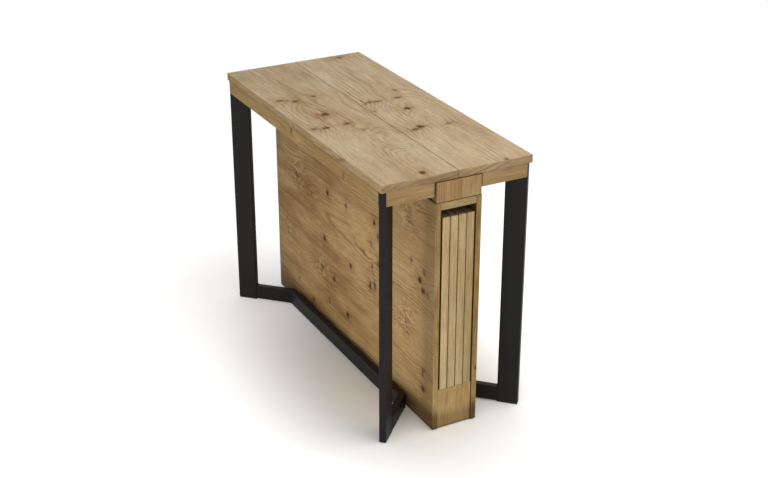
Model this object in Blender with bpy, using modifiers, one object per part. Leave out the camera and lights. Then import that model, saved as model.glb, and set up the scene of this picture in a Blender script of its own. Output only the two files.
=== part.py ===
"""Extendable console table: a central leaf store and two half tops that draw apart on telescopic slides.

Metres, +Z up. X is the way the table extends, Y is its long axis and the leaves draw out towards -Y.
The origin lies on the floor at the middle of the table.
"""

import math

import bmesh
import bpy
from mathutils import Matrix, Vector

# Top
TOP_WIDTH = 0.450
TOP_LENGTH = 1.000
TOP_THICKNESS = 0.022
SEAM_GAP = 0.0012
TOP_EDGE = 0.0010

# Leaves kept in the store
LEAF_COUNT = 4
LEAF_WIDTH = 0.5125
LEAF_SPACING = 0.0028
LEAF_SIDE_GAP = 0.0048
LEAF_STACK_SHIFT = 0.0018
LEAF_END_SETBACK = 0.004
LEAF_RECESS = 0.003
LEAF_REAR_CLEARANCE = 0.0017
FINGER_GAP = 0.0240

# Central store
PANEL_THICKNESS = 0.016
STORE_PROUD = 0.004
STORE_TOP_THICKNESS = 0.022
STORE_FLOOR_THICKNESS = 0.016
PLINTH_HEIGHT = 0.1197
PLINTH_THICKNESS = 0.018
PLINTH_SETBACK = 0.003
STORE_GLIDE_HEIGHT = 0.002
STORE_GLIDE_RADIUS = 0.007
STORE_GLIDE_FOOT_RADIUS = 0.0055
FASCIA_THICKNESS = 0.018
FASCIA_SETBACK = 0.0018
FASCIA_CLEARANCE = 0.0010
BASE_BOARD_THICKNESS = 0.019
BASE_BOARD_SETBACK = 0.006

# Aprons under the halves
APRON_HEIGHT = 0.038
APRON_THICKNESS = 0.018
APRON_FASCIA_GAP = 0.004
APRON_LEG_GAP = 0.0005

# Legs and floor rails, one rectangular steel tube
LEG_WIDTH = 0.060
TUBE_THICKNESS = 0.020
TUBE_WALL = 0.0015
TUBE_INNER_RADIUS = 0.0010
RAIL_HEIGHT = 0.045
RAIL_STORE_GAP = 0.010
LEG_GLIDE_HEIGHT = 0.003
LEG_GLIDE_MARGIN = 0.0010
LEG_GLIDE_PLUG = 0.010
LEG_PLATE_THICKNESS = 0.004
LEG_PLATE_REACH = 0.018
LEG_PLATE_CLEARANCE = 0.002
LEG_PLATE_TIP = 0.020
LEG_PLATE_HOLE_RADIUS = 0.0028
LEG_PLATE_HOLE_INSET = 0.010

# Telescopic slides
SLIDE_STAGES = 3
SLIDE_WEB = 0.0055
CHAMBER_WALL = 0.0018
CHAMBER_HEIGHT = 0.0071
GROOVE_LIP = 0.0025
GROOVE_DEPTH = 0.0035
GROOVE_MOUTH = 0.007
GROOVE_HEIGHT = 0.014
RUNNING_GAP = 0.0005
SLIDE_TOP_GAP = 0.0010
SLIDE_FLOOR_GAP = 0.0015
SLIDE_END_GAP = 0.005
SLIDE_PLATE_GAP = 0.010

# Small clearances, edges and facets shared by all pieces
SEAT_GAP = 0.0003
BOARD_EDGE = 0.0006
ARC_STEPS = 3
ROUND_SIDES = 16
SHARP_ANGLE = math.radians(35)
WELD_DISTANCE = 1e-6
CARRIER_SIZE = 0.05

# Plan of the store, from the leaves outwards
LEAF_THICKNESS = TOP_THICKNESS
LEAF_PITCH = LEAF_THICKNESS + LEAF_SPACING
LEAF_LENGTH = TOP_LENGTH - 2 * LEAF_END_SETBACK
STORE_INSIDE = LEAF_COUNT * LEAF_PITCH - LEAF_SPACING + 2 * LEAF_SIDE_GAP
STORE_HALF_WIDTH = STORE_INSIDE / 2 + PANEL_THICKNESS
STORE_HALF_LENGTH = TOP_LENGTH / 2 + STORE_PROUD
INSERT_HALF_WIDTH = STORE_INSIDE / 2 - SEAT_GAP
FASCIA_HALF_WIDTH = STORE_HALF_WIDTH - FASCIA_SETBACK
PLINTH_FACE = STORE_HALF_LENGTH - PLINTH_SETBACK
LEAF_FRONT = -STORE_HALF_LENGTH + LEAF_RECESS
BACK_PANEL_FRONT = LEAF_FRONT + LEAF_LENGTH + LEAF_REAR_CLEARANCE

# Section of a slide member
SLIDE_THICKNESS = GROOVE_LIP + GROOVE_DEPTH + SLIDE_WEB
SLIDE_PITCH = SLIDE_THICKNESS + RUNNING_GAP
SLIDE_HEIGHT = GROOVE_HEIGHT + 2 * (CHAMBER_HEIGHT + 2 * CHAMBER_WALL)

# Heights, from the floor upwards
PLINTH_BOTTOM = STORE_GLIDE_HEIGHT + SEAT_GAP
PLINTH_TOP = PLINTH_BOTTOM + PLINTH_HEIGHT
LEAF_BOTTOM = PLINTH_TOP + SEAT_GAP
STORE_TOP_BOTTOM = LEAF_BOTTOM + LEAF_WIDTH + FINGER_GAP
STORE_TOP = STORE_TOP_BOTTOM + STORE_TOP_THICKNESS
BASE_BOARD_BOTTOM = STORE_TOP + SEAT_GAP
BASE_BOARD_TOP = BASE_BOARD_BOTTOM + BASE_BOARD_THICKNESS
SLIDE_BOTTOM = BASE_BOARD_TOP + SLIDE_FLOOR_GAP
SLIDE_TOP = SLIDE_BOTTOM + SLIDE_HEIGHT
SLIDE_MIDDLE = (SLIDE_BOTTOM + SLIDE_TOP) / 2
SLAB_BOTTOM = SLIDE_TOP + SLIDE_TOP_GAP
TABLE_HEIGHT = SLAB_BOTTOM + TOP_THICKNESS
SEAT_UNDER_SLAB = SLAB_BOTTOM - SEAT_GAP
APRON_BOTTOM = SEAT_UNDER_SLAB - APRON_HEIGHT
TUBE_BOTTOM = LEG_GLIDE_HEIGHT + SEAT_GAP

# Corner geometry: the leg's narrow face cuts the corner, its wide faces run along the diagonal
CORNER_CUT = TUBE_THICKNESS / math.sqrt(2)
LEG_OUTER_DISTANCE = TUBE_THICKNESS / 2
LEG_INNER_DISTANCE = LEG_OUTER_DISTANCE + LEG_WIDTH
PLATE_START = APRON_THICKNESS + LEG_PLATE_CLEARANCE
PLATE_DIAGONAL = math.sqrt(2) * (LEG_INNER_DISTANCE + LEG_PLATE_REACH)
PLATE_WING = PLATE_DIAGONAL - 2 * PLATE_START - LEG_PLATE_TIP
RAIL_MIDDLE_X = STORE_HALF_WIDTH + RAIL_STORE_GAP + TUBE_THICKNESS / 2

# Slide sets
SLIDE_HALF_LENGTH = TOP_WIDTH / 2 - APRON_THICKNESS - SLIDE_END_GAP
SLIDE_SET_HALF_WIDTH = (SLIDE_STAGES + 1) * SLIDE_PITCH + SLIDE_THICKNESS / 2
SLIDE_SET_Y = TOP_LENGTH / 2 - (PLATE_DIAGONAL - PLATE_START) - SLIDE_PLATE_GAP - SLIDE_SET_HALF_WIDTH

LEFT, RIGHT = -1, 1
FRONT, REAR = -1, 1
SIDE_NAMES = {LEFT: "left", RIGHT: "right"}
END_NAMES = {FRONT: "front", REAR: "rear"}


def clear_scene():
    """Empty the scene and drop meshes and curves that nothing uses any more."""
    for thing in list(bpy.data.objects):
        bpy.data.objects.remove(thing, do_unlink=True)
    for block in (bpy.data.meshes, bpy.data.curves, bpy.data.materials):
        for item in list(block):
            block.remove(item)


def new_collection(name):
    """A collection in the scene."""
    made = bpy.data.collections.new(name)
    bpy.context.scene.collection.children.link(made)
    return made


def new_finish(name, colour, roughness, metallic=0.0):
    """A plain Principled finish."""
    finish = bpy.data.materials.new(name)
    finish.use_nodes = True
    shader = finish.node_tree.nodes["Principled BSDF"]
    shader.inputs["Base Color"].default_value = (*colour, 1.0)
    shader.inputs["Roughness"].default_value = roughness
    shader.inputs["Metallic"].default_value = metallic
    return finish


clear_scene()
TABLE = new_collection("extendable_console_table")
CUTTERS = new_collection("cutters")
OAK = new_finish("oak", (0.44, 0.33, 0.20), 0.55)
BLACK_STEEL = new_finish("black_steel", (0.020, 0.018, 0.016), 0.45, 0.4)
ALUMINIUM = new_finish("aluminium", (0.70, 0.71, 0.72), 0.35, 1.0)
BLACK_PLASTIC = new_finish("black_plastic", (0.025, 0.025, 0.025), 0.6)


def new_carrier(name, place):
    """An empty on a slide's axis, which carries one moving body."""
    carrier = bpy.data.objects.new(name, None)
    carrier.location = place
    carrier.empty_display_size = CARRIER_SIZE
    TABLE.objects.link(carrier)
    return carrier


def add_piece(name, mesh, place, finish, carrier=None):
    """A named piece with its finish, placed in the world and carried by its body's empty."""
    piece = bpy.data.objects.new(name, mesh)
    mesh.name = name
    mesh.materials.clear()
    mesh.materials.append(finish)
    piece.matrix_world = place
    TABLE.objects.link(piece)
    if carrier:
        piece.parent = carrier
        piece.matrix_parent_inverse = Matrix.Translation(carrier.location).inverted()
    return piece


def ease_edges(piece, width):
    """Narrow flat bevel on the sharp edges."""
    bevel = piece.modifiers.new("eased_edges", "BEVEL")
    bevel.width = width
    bevel.segments = 1
    bevel.limit_method = "ANGLE"
    bevel.angle_limit = SHARP_ANGLE


def box_mesh(size):
    """A box mesh centred on its origin."""
    mesh = bpy.data.meshes.new("box")
    work = bmesh.new()
    bmesh.ops.create_cube(work, size=1.0, matrix=Matrix.Diagonal((*size, 1.0)))
    work.to_mesh(mesh)
    work.free()
    return mesh


def add_board(name, low, high, finish, carrier=None, edge=BOARD_EDGE):
    """A board between two corners, in either order, with eased edges."""
    low, high = Vector(low), Vector(high)
    size = [abs(b - a) for a, b in zip(low, high)]
    piece = add_piece(name, box_mesh(size), Matrix.Translation((low + high) / 2), finish, carrier)
    ease_edges(piece, edge)
    return piece


def prism_mesh(outlines, depth):
    """Flat outlines filled and drawn out by depth, half to each side. An inner outline is a hole."""
    curve = bpy.data.curves.new("outline", "CURVE")
    curve.dimensions = "2D"
    curve.fill_mode = "BOTH"
    curve.extrude = depth / 2
    for outline in outlines:
        spline = curve.splines.new("POLY")
        spline.points.add(len(outline) - 1)
        spline.use_cyclic_u = True
        for point, (x, y) in zip(spline.points, outline):
            point.co = (x, y, 0.0, 1.0)
    drawn = bpy.data.objects.new("outline", curve)
    CUTTERS.objects.link(drawn)
    graph = bpy.context.evaluated_depsgraph_get()
    mesh = bpy.data.meshes.new_from_object(drawn.evaluated_get(graph))
    bpy.data.objects.remove(drawn, do_unlink=True)
    bpy.data.curves.remove(curve)
    work = bmesh.new()
    work.from_mesh(mesh)
    bmesh.ops.remove_doubles(work, verts=work.verts, dist=WELD_DISTANCE)
    bmesh.ops.recalc_face_normals(work, faces=work.faces)
    work.to_mesh(mesh)
    work.free()
    return mesh


def rounded_rectangle(width, height, radius):
    """Points of a rectangle with round corners, anticlockwise from the lower right corner."""
    points = []
    for quarter in range(4):
        x_sign, y_sign = ((1, -1), (1, 1), (-1, 1), (-1, -1))[quarter]
        for step in range(ARC_STEPS + 1):
            angle = math.radians(90) * (quarter - 1 + step / ARC_STEPS)
            x = x_sign * (width / 2 - radius) + radius * math.cos(angle)
            y = y_sign * (height / 2 - radius) + radius * math.sin(angle)
            points.append((x, y))
    return points


def tube_section(width, height):
    """Outer and inner outline of a steel tube."""
    outer = rounded_rectangle(width, height, TUBE_INNER_RADIUS + TUBE_WALL)
    inner = rounded_rectangle(width - 2 * TUBE_WALL, height - 2 * TUBE_WALL, TUBE_INNER_RADIUS)
    return [outer, inner]


def frame_of(x_axis, y_axis, z_axis, origin):
    """Placement with the given axes and origin."""
    axes = Matrix((x_axis, y_axis, z_axis)).transposed()
    return Matrix.Translation(origin) @ axes.to_4x4()


def cut_slope(normal, across, along):
    """How far an end cut runs back along a tube for each metre across it."""
    return -across.dot(normal) / along.dot(normal)


def add_rail(name, start, end, start_cut, end_cut, carrier):
    """A level tube between two points on its centre line, its ends cut square to the given normals."""
    along = (end - start).normalized()
    up = Vector((0, 0, 1))
    across = up.cross(along)
    length = (end - start).length
    mesh = prism_mesh(tube_section(TUBE_THICKNESS, RAIL_HEIGHT), length)
    for vertex in mesh.vertices:
        normal = end_cut if vertex.co.z > 0 else start_cut
        vertex.co.z += vertex.co.x * cut_slope(normal, across, along)
    place = frame_of(across, up, along, (start + end) / 2)
    return add_piece(name, mesh, place, BLACK_STEEL, carrier)


def add_cutter(name, mesh, place):
    """A hidden helper for a Boolean."""
    cutter = bpy.data.objects.new(name, mesh)
    cutter.matrix_world = place
    cutter.hide_render = True
    cutter.display_type = "WIRE"
    CUTTERS.objects.link(cutter)
    return cutter


def join_or_cut(piece, helper, operation):
    """Boolean with a helper."""
    boolean = piece.modifiers.new(helper.name, "BOOLEAN")
    boolean.operation = operation
    boolean.solver = "EXACT"
    boolean.object = helper


def round_mesh(foot_radius, head_radius, height):
    """A short round pad or pin on its own Z axis."""
    mesh = bpy.data.meshes.new("round")
    work = bmesh.new()
    bmesh.ops.create_cone(
        work,
        cap_ends=True,
        segments=ROUND_SIDES,
        radius1=foot_radius,
        radius2=head_radius,
        depth=height,
    )
    work.to_mesh(mesh)
    work.free()
    mesh.shade_smooth()
    mesh.set_sharp_from_angle(angle=SHARP_ANGLE)
    return mesh


def corner_frame(side, end):
    """Placement on the floor at a corner of the top: X runs inwards along the diagonal, Z is up."""
    inward = Vector((-side, -end, 0)).normalized()
    up = Vector((0, 0, 1))
    return frame_of(inward, up.cross(inward), up, (side * TOP_WIDTH / 2, end * TOP_LENGTH / 2, 0))


def build_store():
    """The fixed middle: a narrow box on glides, its fascias and the board that carries the slides."""
    front_face = -STORE_HALF_LENGTH
    rear_face = STORE_HALF_LENGTH
    for side in (LEFT, RIGHT):
        low = (side * STORE_INSIDE / 2, front_face, PLINTH_BOTTOM)
        high = (side * STORE_HALF_WIDTH, rear_face, STORE_TOP)
        add_board(f"store_{SIDE_NAMES[side]}_panel", low, high, OAK)
    low = (-INSERT_HALF_WIDTH, front_face, STORE_TOP_BOTTOM)
    high = (INSERT_HALF_WIDTH, rear_face, STORE_TOP)
    add_board("store_top_board", low, high, OAK)

    floor_half_length = PLINTH_FACE - PLINTH_THICKNESS - SEAT_GAP
    low = (-INSERT_HALF_WIDTH, -floor_half_length, PLINTH_TOP - STORE_FLOOR_THICKNESS)
    high = (INSERT_HALF_WIDTH, floor_half_length, PLINTH_TOP)
    add_board("store_floor_board", low, high, OAK)
    for end in (FRONT, REAR):
        low = (-INSERT_HALF_WIDTH, end * (PLINTH_FACE - PLINTH_THICKNESS), PLINTH_BOTTOM)
        high = (INSERT_HALF_WIDTH, end * PLINTH_FACE, PLINTH_TOP)
        add_board(f"store_{END_NAMES[end]}_plinth", low, high, OAK)
    low = (-INSERT_HALF_WIDTH, BACK_PANEL_FRONT, PLINTH_TOP + SEAT_GAP)
    high = (INSERT_HALF_WIDTH, rear_face, STORE_TOP_BOTTOM - SEAT_GAP)
    add_board("store_back_panel", low, high, OAK)

    for end in (FRONT, REAR):
        low = (-FASCIA_HALF_WIDTH, end * (STORE_HALF_LENGTH - FASCIA_THICKNESS), STORE_TOP + SEAT_GAP)
        high = (FASCIA_HALF_WIDTH, end * STORE_HALF_LENGTH, SLAB_BOTTOM - FASCIA_CLEARANCE)
        add_board(f"{END_NAMES[end]}_fascia", low, high, OAK)
    base_half_width = STORE_HALF_WIDTH - BASE_BOARD_SETBACK
    base_half_length = STORE_HALF_LENGTH - FASCIA_THICKNESS - SEAT_GAP
    low = (-base_half_width, -base_half_length, BASE_BOARD_BOTTOM)
    high = (base_half_width, base_half_length, BASE_BOARD_TOP)
    add_board("slide_base_board", low, high, OAK)
    build_store_glides()


def build_store_glides():
    """A round glide under each end of both plinths."""
    glide_x = INSERT_HALF_WIDTH - STORE_GLIDE_RADIUS
    glide_y = PLINTH_FACE - PLINTH_THICKNESS / 2
    for side in (LEFT, RIGHT):
        for end in (FRONT, REAR):
            mesh = round_mesh(STORE_GLIDE_FOOT_RADIUS, STORE_GLIDE_RADIUS, STORE_GLIDE_HEIGHT)
            place = Matrix.Translation((side * glide_x, end * glide_y, STORE_GLIDE_HEIGHT / 2))
            name = f"store_{SIDE_NAMES[side]}_{END_NAMES[end]}_glide"
            add_piece(name, mesh, place, BLACK_PLASTIC)


def build_leaves():
    """Leaves on edge in the store, pushed a little to the right, each on its own draw slide."""
    first = LEAF_STACK_SHIFT - (LEAF_COUNT - 1) / 2 * LEAF_PITCH
    for number in range(1, LEAF_COUNT + 1):
        middle = first + (number - 1) * LEAF_PITCH
        carrier = new_carrier(f"leaf_{number}_slide", (middle, LEAF_FRONT, LEAF_BOTTOM))
        low = (middle - LEAF_THICKNESS / 2, LEAF_FRONT, LEAF_BOTTOM)
        high = (middle + LEAF_THICKNESS / 2, LEAF_FRONT + LEAF_LENGTH, LEAF_BOTTOM + LEAF_WIDTH)
        add_board(f"leaf_{number}", low, high, OAK, carrier, TOP_EDGE)


def build_aprons(side, carrier):
    """Side apron and two end aprons, mitred to the wide faces of the legs."""
    half_width = TOP_WIDTH / 2
    half_length = TOP_LENGTH / 2
    cut = CORNER_CUT + APRON_LEG_GAP * math.sqrt(2)
    outer_y = half_length - cut
    inner_y = outer_y - APRON_THICKNESS
    inner_x = half_width - APRON_THICKNESS
    outline = [
        (side * half_width, -outer_y),
        (side * half_width, outer_y),
        (side * inner_x, inner_y),
        (side * inner_x, -inner_y),
    ]
    place = Matrix.Translation((0, 0, APRON_BOTTOM + APRON_HEIGHT / 2))
    name = f"{SIDE_NAMES[side]}_side_apron"
    ease_edges(add_piece(name, prism_mesh([outline], APRON_HEIGHT), place, OAK, carrier), BOARD_EDGE)

    outer_x = half_width - cut
    free_x = FASCIA_HALF_WIDTH + APRON_FASCIA_GAP
    for end in (FRONT, REAR):
        outline = [
            (side * outer_x, end * half_length),
            (side * free_x, end * half_length),
            (side * free_x, end * (half_length - APRON_THICKNESS)),
            (side * (outer_x - APRON_THICKNESS), end * (half_length - APRON_THICKNESS)),
        ]
        name = f"{SIDE_NAMES[side]}_{END_NAMES[end]}_apron"
        piece = add_piece(name, prism_mesh([outline], APRON_HEIGHT), place, OAK, carrier)
        ease_edges(piece, BOARD_EDGE)


def plate_outline():
    """Leg plate in the corner's own frame: a strip over the leg, widening behind the aprons."""
    half_leg = TUBE_THICKNESS / 2
    root_2 = math.sqrt(2)
    shoulder_x = root_2 * PLATE_START + half_leg
    wing_x = (2 * PLATE_START + PLATE_WING) / root_2
    wing_y = PLATE_WING / root_2
    tip_x = PLATE_DIAGONAL / root_2
    tip_y = (PLATE_WING - LEG_PLATE_TIP) / root_2
    one_side = [(LEG_OUTER_DISTANCE, half_leg), (shoulder_x, half_leg), (wing_x, wing_y), (tip_x, tip_y)]
    return one_side + [(x, -y) for x, y in reversed(one_side)]


def build_leg(side, end, carrier):
    """A leg tube with its welded and drilled head plate, and the glide in its foot."""
    name = f"{SIDE_NAMES[side]}_{END_NAMES[end]}_leg"
    corner = corner_frame(side, end)
    middle = LEG_OUTER_DISTANCE + LEG_WIDTH / 2
    tube_top = SEAT_UNDER_SLAB - LEG_PLATE_THICKNESS / 2
    place = corner @ Matrix.Translation((middle, 0, (TUBE_BOTTOM + tube_top) / 2))
    section = tube_section(LEG_WIDTH, TUBE_THICKNESS)
    leg = add_piece(name, prism_mesh(section, tube_top - TUBE_BOTTOM), place, BLACK_STEEL, carrier)

    plate_middle = SEAT_UNDER_SLAB - LEG_PLATE_THICKNESS / 2
    plate_mesh = prism_mesh([plate_outline()], LEG_PLATE_THICKNESS)
    plate = add_cutter(f"{name}_plate", plate_mesh, corner @ Matrix.Translation((0, 0, plate_middle)))
    join_or_cut(leg, plate, "UNION")
    hole_x = PLATE_DIAGONAL / math.sqrt(2) - LEG_PLATE_HOLE_INSET
    hole_y = (PLATE_WING - LEG_PLATE_TIP) / math.sqrt(2)
    hole_depth = 2 * LEG_PLATE_THICKNESS
    for number, hole_side in enumerate((-1, 1)):
        hole_mesh = round_mesh(LEG_PLATE_HOLE_RADIUS, LEG_PLATE_HOLE_RADIUS, hole_depth)
        hole_place = corner @ Matrix.Translation((hole_x, hole_side * hole_y, plate_middle))
        hole = add_cutter(f"{name}_hole_{number}", hole_mesh, hole_place)
        join_or_cut(leg, hole, "DIFFERENCE")
    build_leg_glide(f"{name}_glide", corner, middle, carrier)


def build_leg_glide(name, corner, middle, carrier):
    """A plastic glide: a pad under the tube's foot with a plug that fits inside it."""
    pad_size = (LEG_WIDTH - 2 * LEG_GLIDE_MARGIN, TUBE_THICKNESS - 2 * LEG_GLIDE_MARGIN, LEG_GLIDE_HEIGHT)
    pad = box_mesh(pad_size)
    work = bmesh.new()
    work.from_mesh(pad)
    work.faces.ensure_lookup_table()
    top = max(work.faces, key=lambda face: face.calc_center_median().z)
    inset = TUBE_WALL + SEAT_GAP + TUBE_INNER_RADIUS - LEG_GLIDE_MARGIN
    bmesh.ops.inset_region(work, faces=[top], thickness=inset)
    drawn = bmesh.ops.extrude_face_region(work, geom=[top])
    raised = [item for item in drawn["geom"] if isinstance(item, bmesh.types.BMVert)]
    bmesh.ops.translate(work, verts=raised, vec=(0, 0, LEG_GLIDE_PLUG))
    bmesh.ops.delete(work, geom=[top], context="FACES_ONLY")
    bmesh.ops.recalc_face_normals(work, faces=work.faces)
    work.to_mesh(pad)
    work.free()
    place = corner @ Matrix.Translation((middle, 0, LEG_GLIDE_HEIGHT / 2))
    add_piece(name, pad, place, BLACK_PLASTIC, carrier)


def build_floor_rail(side, carrier):
    """A floor rail: a diagonal from each leg to a bend, and a straight run beside the store."""
    height = TUBE_BOTTOM + RAIL_HEIGHT / 2
    lengthwise = Vector((0, 1, 0))
    bends = {}
    for end in (FRONT, REAR):
        corner = corner_frame(side, end)
        start = corner @ Vector((LEG_INNER_DISTANCE + SEAT_GAP, 0, height))
        inward = Vector((-side, -end, 0)).normalized()
        reach = (abs(start.x) - RAIL_MIDDLE_X) * math.sqrt(2)
        bend = start + inward * reach
        mitre = (inward - end * lengthwise).normalized()
        half_gap = SEAT_GAP / 2
        name = f"{SIDE_NAMES[side]}_{END_NAMES[end]}_diagonal_rail"
        add_rail(name, start, bend - inward * half_gap, inward, mitre, carrier)
        bends[end] = (bend - end * lengthwise * half_gap, mitre)
    front_bend, front_mitre = bends[FRONT]
    rear_bend, rear_mitre = bends[REAR]
    name = f"{SIDE_NAMES[side]}_straight_rail"
    add_rail(name, front_bend, rear_bend, front_mitre, rear_mitre, carrier)


def chamber_outline(flank):
    """Hollow of an extrusion above (+1) or below (-1) its joint."""
    half_width = SLIDE_THICKNESS / 2 - CHAMBER_WALL
    near = flank * (GROOVE_HEIGHT / 2 + CHAMBER_WALL)
    far = near + flank * CHAMBER_HEIGHT
    return [(-half_width, near), (half_width, near), (half_width, far), (-half_width, far)]


def slide_outline(tongue_sides, groove_sides, bottom, top):
    """Section of a slide member across its thickness and height, with the joint at the middle height."""
    face = SLIDE_THICKNESS / 2
    neck = RUNNING_GAP + GROOVE_LIP + RUNNING_GAP
    head = neck + GROOVE_DEPTH - 2 * RUNNING_GAP
    shapes = {
        "tongue": (neck, head, GROOVE_MOUTH / 2 - RUNNING_GAP, GROOVE_HEIGHT / 2 - RUNNING_GAP),
        "groove": (-GROOVE_LIP, -GROOVE_LIP - GROOVE_DEPTH, GROOVE_MOUTH / 2, GROOVE_HEIGHT / 2),
    }
    flanks = {}
    for flank in (-1, 1):
        kind = "tongue" if flank in tongue_sides else "groove" if flank in groove_sides else None
        steps = []
        if kind:
            near, far, half_mouth, half_height = shapes[kind]
            rise = [(0, half_mouth), (near, half_mouth), (near, half_height), (far, half_height)]
            steps = [(out, -z) for out, z in rise] + [(out, z) for out, z in reversed(rise)]
        flanks[flank] = [(flank * (face + out), z) for out, z in steps]
    low = bottom - SLIDE_MIDDLE
    high = top - SLIDE_MIDDLE
    right_flank = [(face, low)] + flanks[1] + [(face, high)]
    left_flank = [(-face, high)] + flanks[-1][::-1] + [(-face, low)]
    return right_flank + left_flank


def add_slide_member(name, y, outline, carrier=None):
    """A hollow slide member across the table at one place along it."""
    axes = (Vector((0, 1, 0)), Vector((0, 0, 1)), Vector((1, 0, 0)))
    place = frame_of(*axes, (0, y, SLIDE_MIDDLE))
    mesh = prism_mesh([outline, chamber_outline(-1), chamber_outline(1)], 2 * SLIDE_HALF_LENGTH)
    return add_piece(name, mesh, place, ALUMINIUM, carrier)


def build_slides(end, stage_carriers, half_carriers):
    """One slide set: the left chain runs towards the middle of the table, the right chain towards its end."""
    set_name = END_NAMES[end]
    set_y = end * SLIDE_SET_Y
    fixed = slide_outline((-1, 1), (), BASE_BOARD_TOP + SEAT_GAP, SLIDE_TOP)
    add_slide_member(f"{set_name}_slide_fixed", set_y, fixed)
    for side in (LEFT, RIGHT):
        away = end * side
        for stage in range(1, SLIDE_STAGES + 1):
            outline = slide_outline((away,), (-away,), SLIDE_BOTTOM, SLIDE_TOP)
            name = f"{SIDE_NAMES[side]}_{set_name}_slide_stage_{stage}"
            add_slide_member(name, set_y + away * stage * SLIDE_PITCH, outline, stage_carriers[side, stage])
        outline = slide_outline((), (-away,), SLIDE_BOTTOM, SEAT_UNDER_SLAB)
        name = f"{SIDE_NAMES[side]}_{set_name}_slide_end"
        end_y = set_y + away * (SLIDE_STAGES + 1) * SLIDE_PITCH
        add_slide_member(name, end_y, outline, half_carriers[side])


def build_half(side, carrier):
    """One half of the table: slab, aprons, legs and floor rail."""
    half_length = TOP_LENGTH / 2
    low = (side * SEAM_GAP / 2, -half_length, SLAB_BOTTOM)
    high = (side * TOP_WIDTH / 2, half_length, TABLE_HEIGHT)
    add_board(f"{SIDE_NAMES[side]}_top", low, high, OAK, carrier, TOP_EDGE)
    build_aprons(side, carrier)
    for end in (FRONT, REAR):
        build_leg(side, end, carrier)
    build_floor_rail(side, carrier)


def build_table():
    """The whole table, closed, with its leaves in the store."""
    half_carriers = {}
    stage_carriers = {}
    for side in (LEFT, RIGHT):
        half_carriers[side] = new_carrier(f"{SIDE_NAMES[side]}_half_slide", (0, 0, SLIDE_MIDDLE))
        for stage in range(1, SLIDE_STAGES + 1):
            name = f"{SIDE_NAMES[side]}_stage_{stage}_slide"
            stage_carriers[side, stage] = new_carrier(name, (0, 0, SLIDE_MIDDLE))
    build_store()
    build_leaves()
    for side in (LEFT, RIGHT):
        build_half(side, half_carriers[side])
    for end in (FRONT, REAR):
        build_slides(end, stage_carriers, half_carriers)


build_table()
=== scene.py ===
"""Looks of an extendable oak console table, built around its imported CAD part.

Metres, +Z up, in the part's own frame: X is the way the table extends, Y runs along the top
and the front is towards -Y. The CAD boards, tubes and slides stay and get their finishes here.
The half tops and the stored leaves are modelled again with rounded edges and drilled sockets,
and the pins, screws, chamber plugs and weld seams are added.
"""

import logging
import math
from collections.abc import Callable, Iterable
from dataclasses import dataclass
from enum import Enum

import bmesh
import bpy
from mathutils import Matrix, Vector

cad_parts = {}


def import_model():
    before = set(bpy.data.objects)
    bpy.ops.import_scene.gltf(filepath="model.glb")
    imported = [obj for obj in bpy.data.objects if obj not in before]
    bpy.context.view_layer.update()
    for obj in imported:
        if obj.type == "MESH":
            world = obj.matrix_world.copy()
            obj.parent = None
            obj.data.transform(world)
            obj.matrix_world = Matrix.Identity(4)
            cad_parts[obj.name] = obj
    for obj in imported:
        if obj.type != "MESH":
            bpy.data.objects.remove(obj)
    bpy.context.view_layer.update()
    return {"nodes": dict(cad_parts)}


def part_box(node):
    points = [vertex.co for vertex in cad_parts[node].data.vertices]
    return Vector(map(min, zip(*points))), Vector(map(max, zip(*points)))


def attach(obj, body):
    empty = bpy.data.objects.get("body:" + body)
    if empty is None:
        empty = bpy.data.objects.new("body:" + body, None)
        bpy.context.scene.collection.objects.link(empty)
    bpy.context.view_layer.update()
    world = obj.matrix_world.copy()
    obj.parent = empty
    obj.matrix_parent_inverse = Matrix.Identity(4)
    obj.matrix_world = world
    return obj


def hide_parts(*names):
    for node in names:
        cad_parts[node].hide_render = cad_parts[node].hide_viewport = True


log = logging.getLogger("console_table")

Span = tuple[float, float]
Triple = tuple[float, float, float]
Tone = tuple[float, float, float, float]
Piece = bpy.types.Object
Material = bpy.types.Material
Node = bpy.types.Node
NodeTree = bpy.types.NodeTree
Socket = bpy.types.NodeSocket
Sockets = bpy.types.bpy_prop_collection
Feed = Socket | float | tuple[float, ...]
Feeds = dict[str | int, Feed]

IMAGE_WIDTH = 768
SENSOR_WIDTH = 36.0
SMOOTH_ANGLE = math.radians(35)
SQUARE_ON = 0.9
ORIGIN = (0.0, 0.0, 0.0)
WHITE = (1.0, 1.0, 1.0, 1.0)
UNTURNED = Matrix.Identity(4)

# Sockets of a Mix node by what it mixes: the first, the second and the result
MIX_SOCKETS = {"RGBA": (6, 7, 2), "VECTOR": (4, 5, 1)}
NOISE_ROUGHNESS = 0.55
NOISE_CORE = (0.34, 0.66)
RING_PROFILE = ((0.0, 1.0), (1.0, 1.0), (0.14, 0.70), (0.32, 0.12), (0.60, 0.0), (0.84, 0.08), (0.94, 0.60))
KNOT_MASKS = ("Lift", "Core", "Halo", "Curl")
HALF = (0.5, 0.5, 0.5)
TORN_STRETCH = (150.0, 190.0, 190.0)
TORN_DETAIL = 3.0
TORN_REACH = (0.011, 0.018, 0.0)
FACE_TURN = (0.60, 0.80)
END_TURN = (0.72, 0.80)
END_SHIFT = 0.37
LINE_CORE = 0.4


def shade(red: int, green: int, blue: int) -> Tone:
    """Turns a colour as a screen shows it into the linear colour that a shader takes.

    Args:
        red: Red from 0 to 255.
        green: Green from 0 to 255.
        blue: Blue from 0 to 255.

    Returns:
        The linear colour by the sRGB curve, with a full alpha.
    """
    parts = [channel / 255 for channel in (red, green, blue)]
    linear = [part / 12.92 if part <= 0.04045 else ((part + 0.055) / 1.055) ** 2.4 for part in parts]
    return (*linear, 1.0)


class Choice(Enum):
    """A choice whose name is a part of the nodes' names."""

    @property
    def word(self) -> str:
        """The name as the nodes and bodies use it."""
        return self.name.lower()


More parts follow.
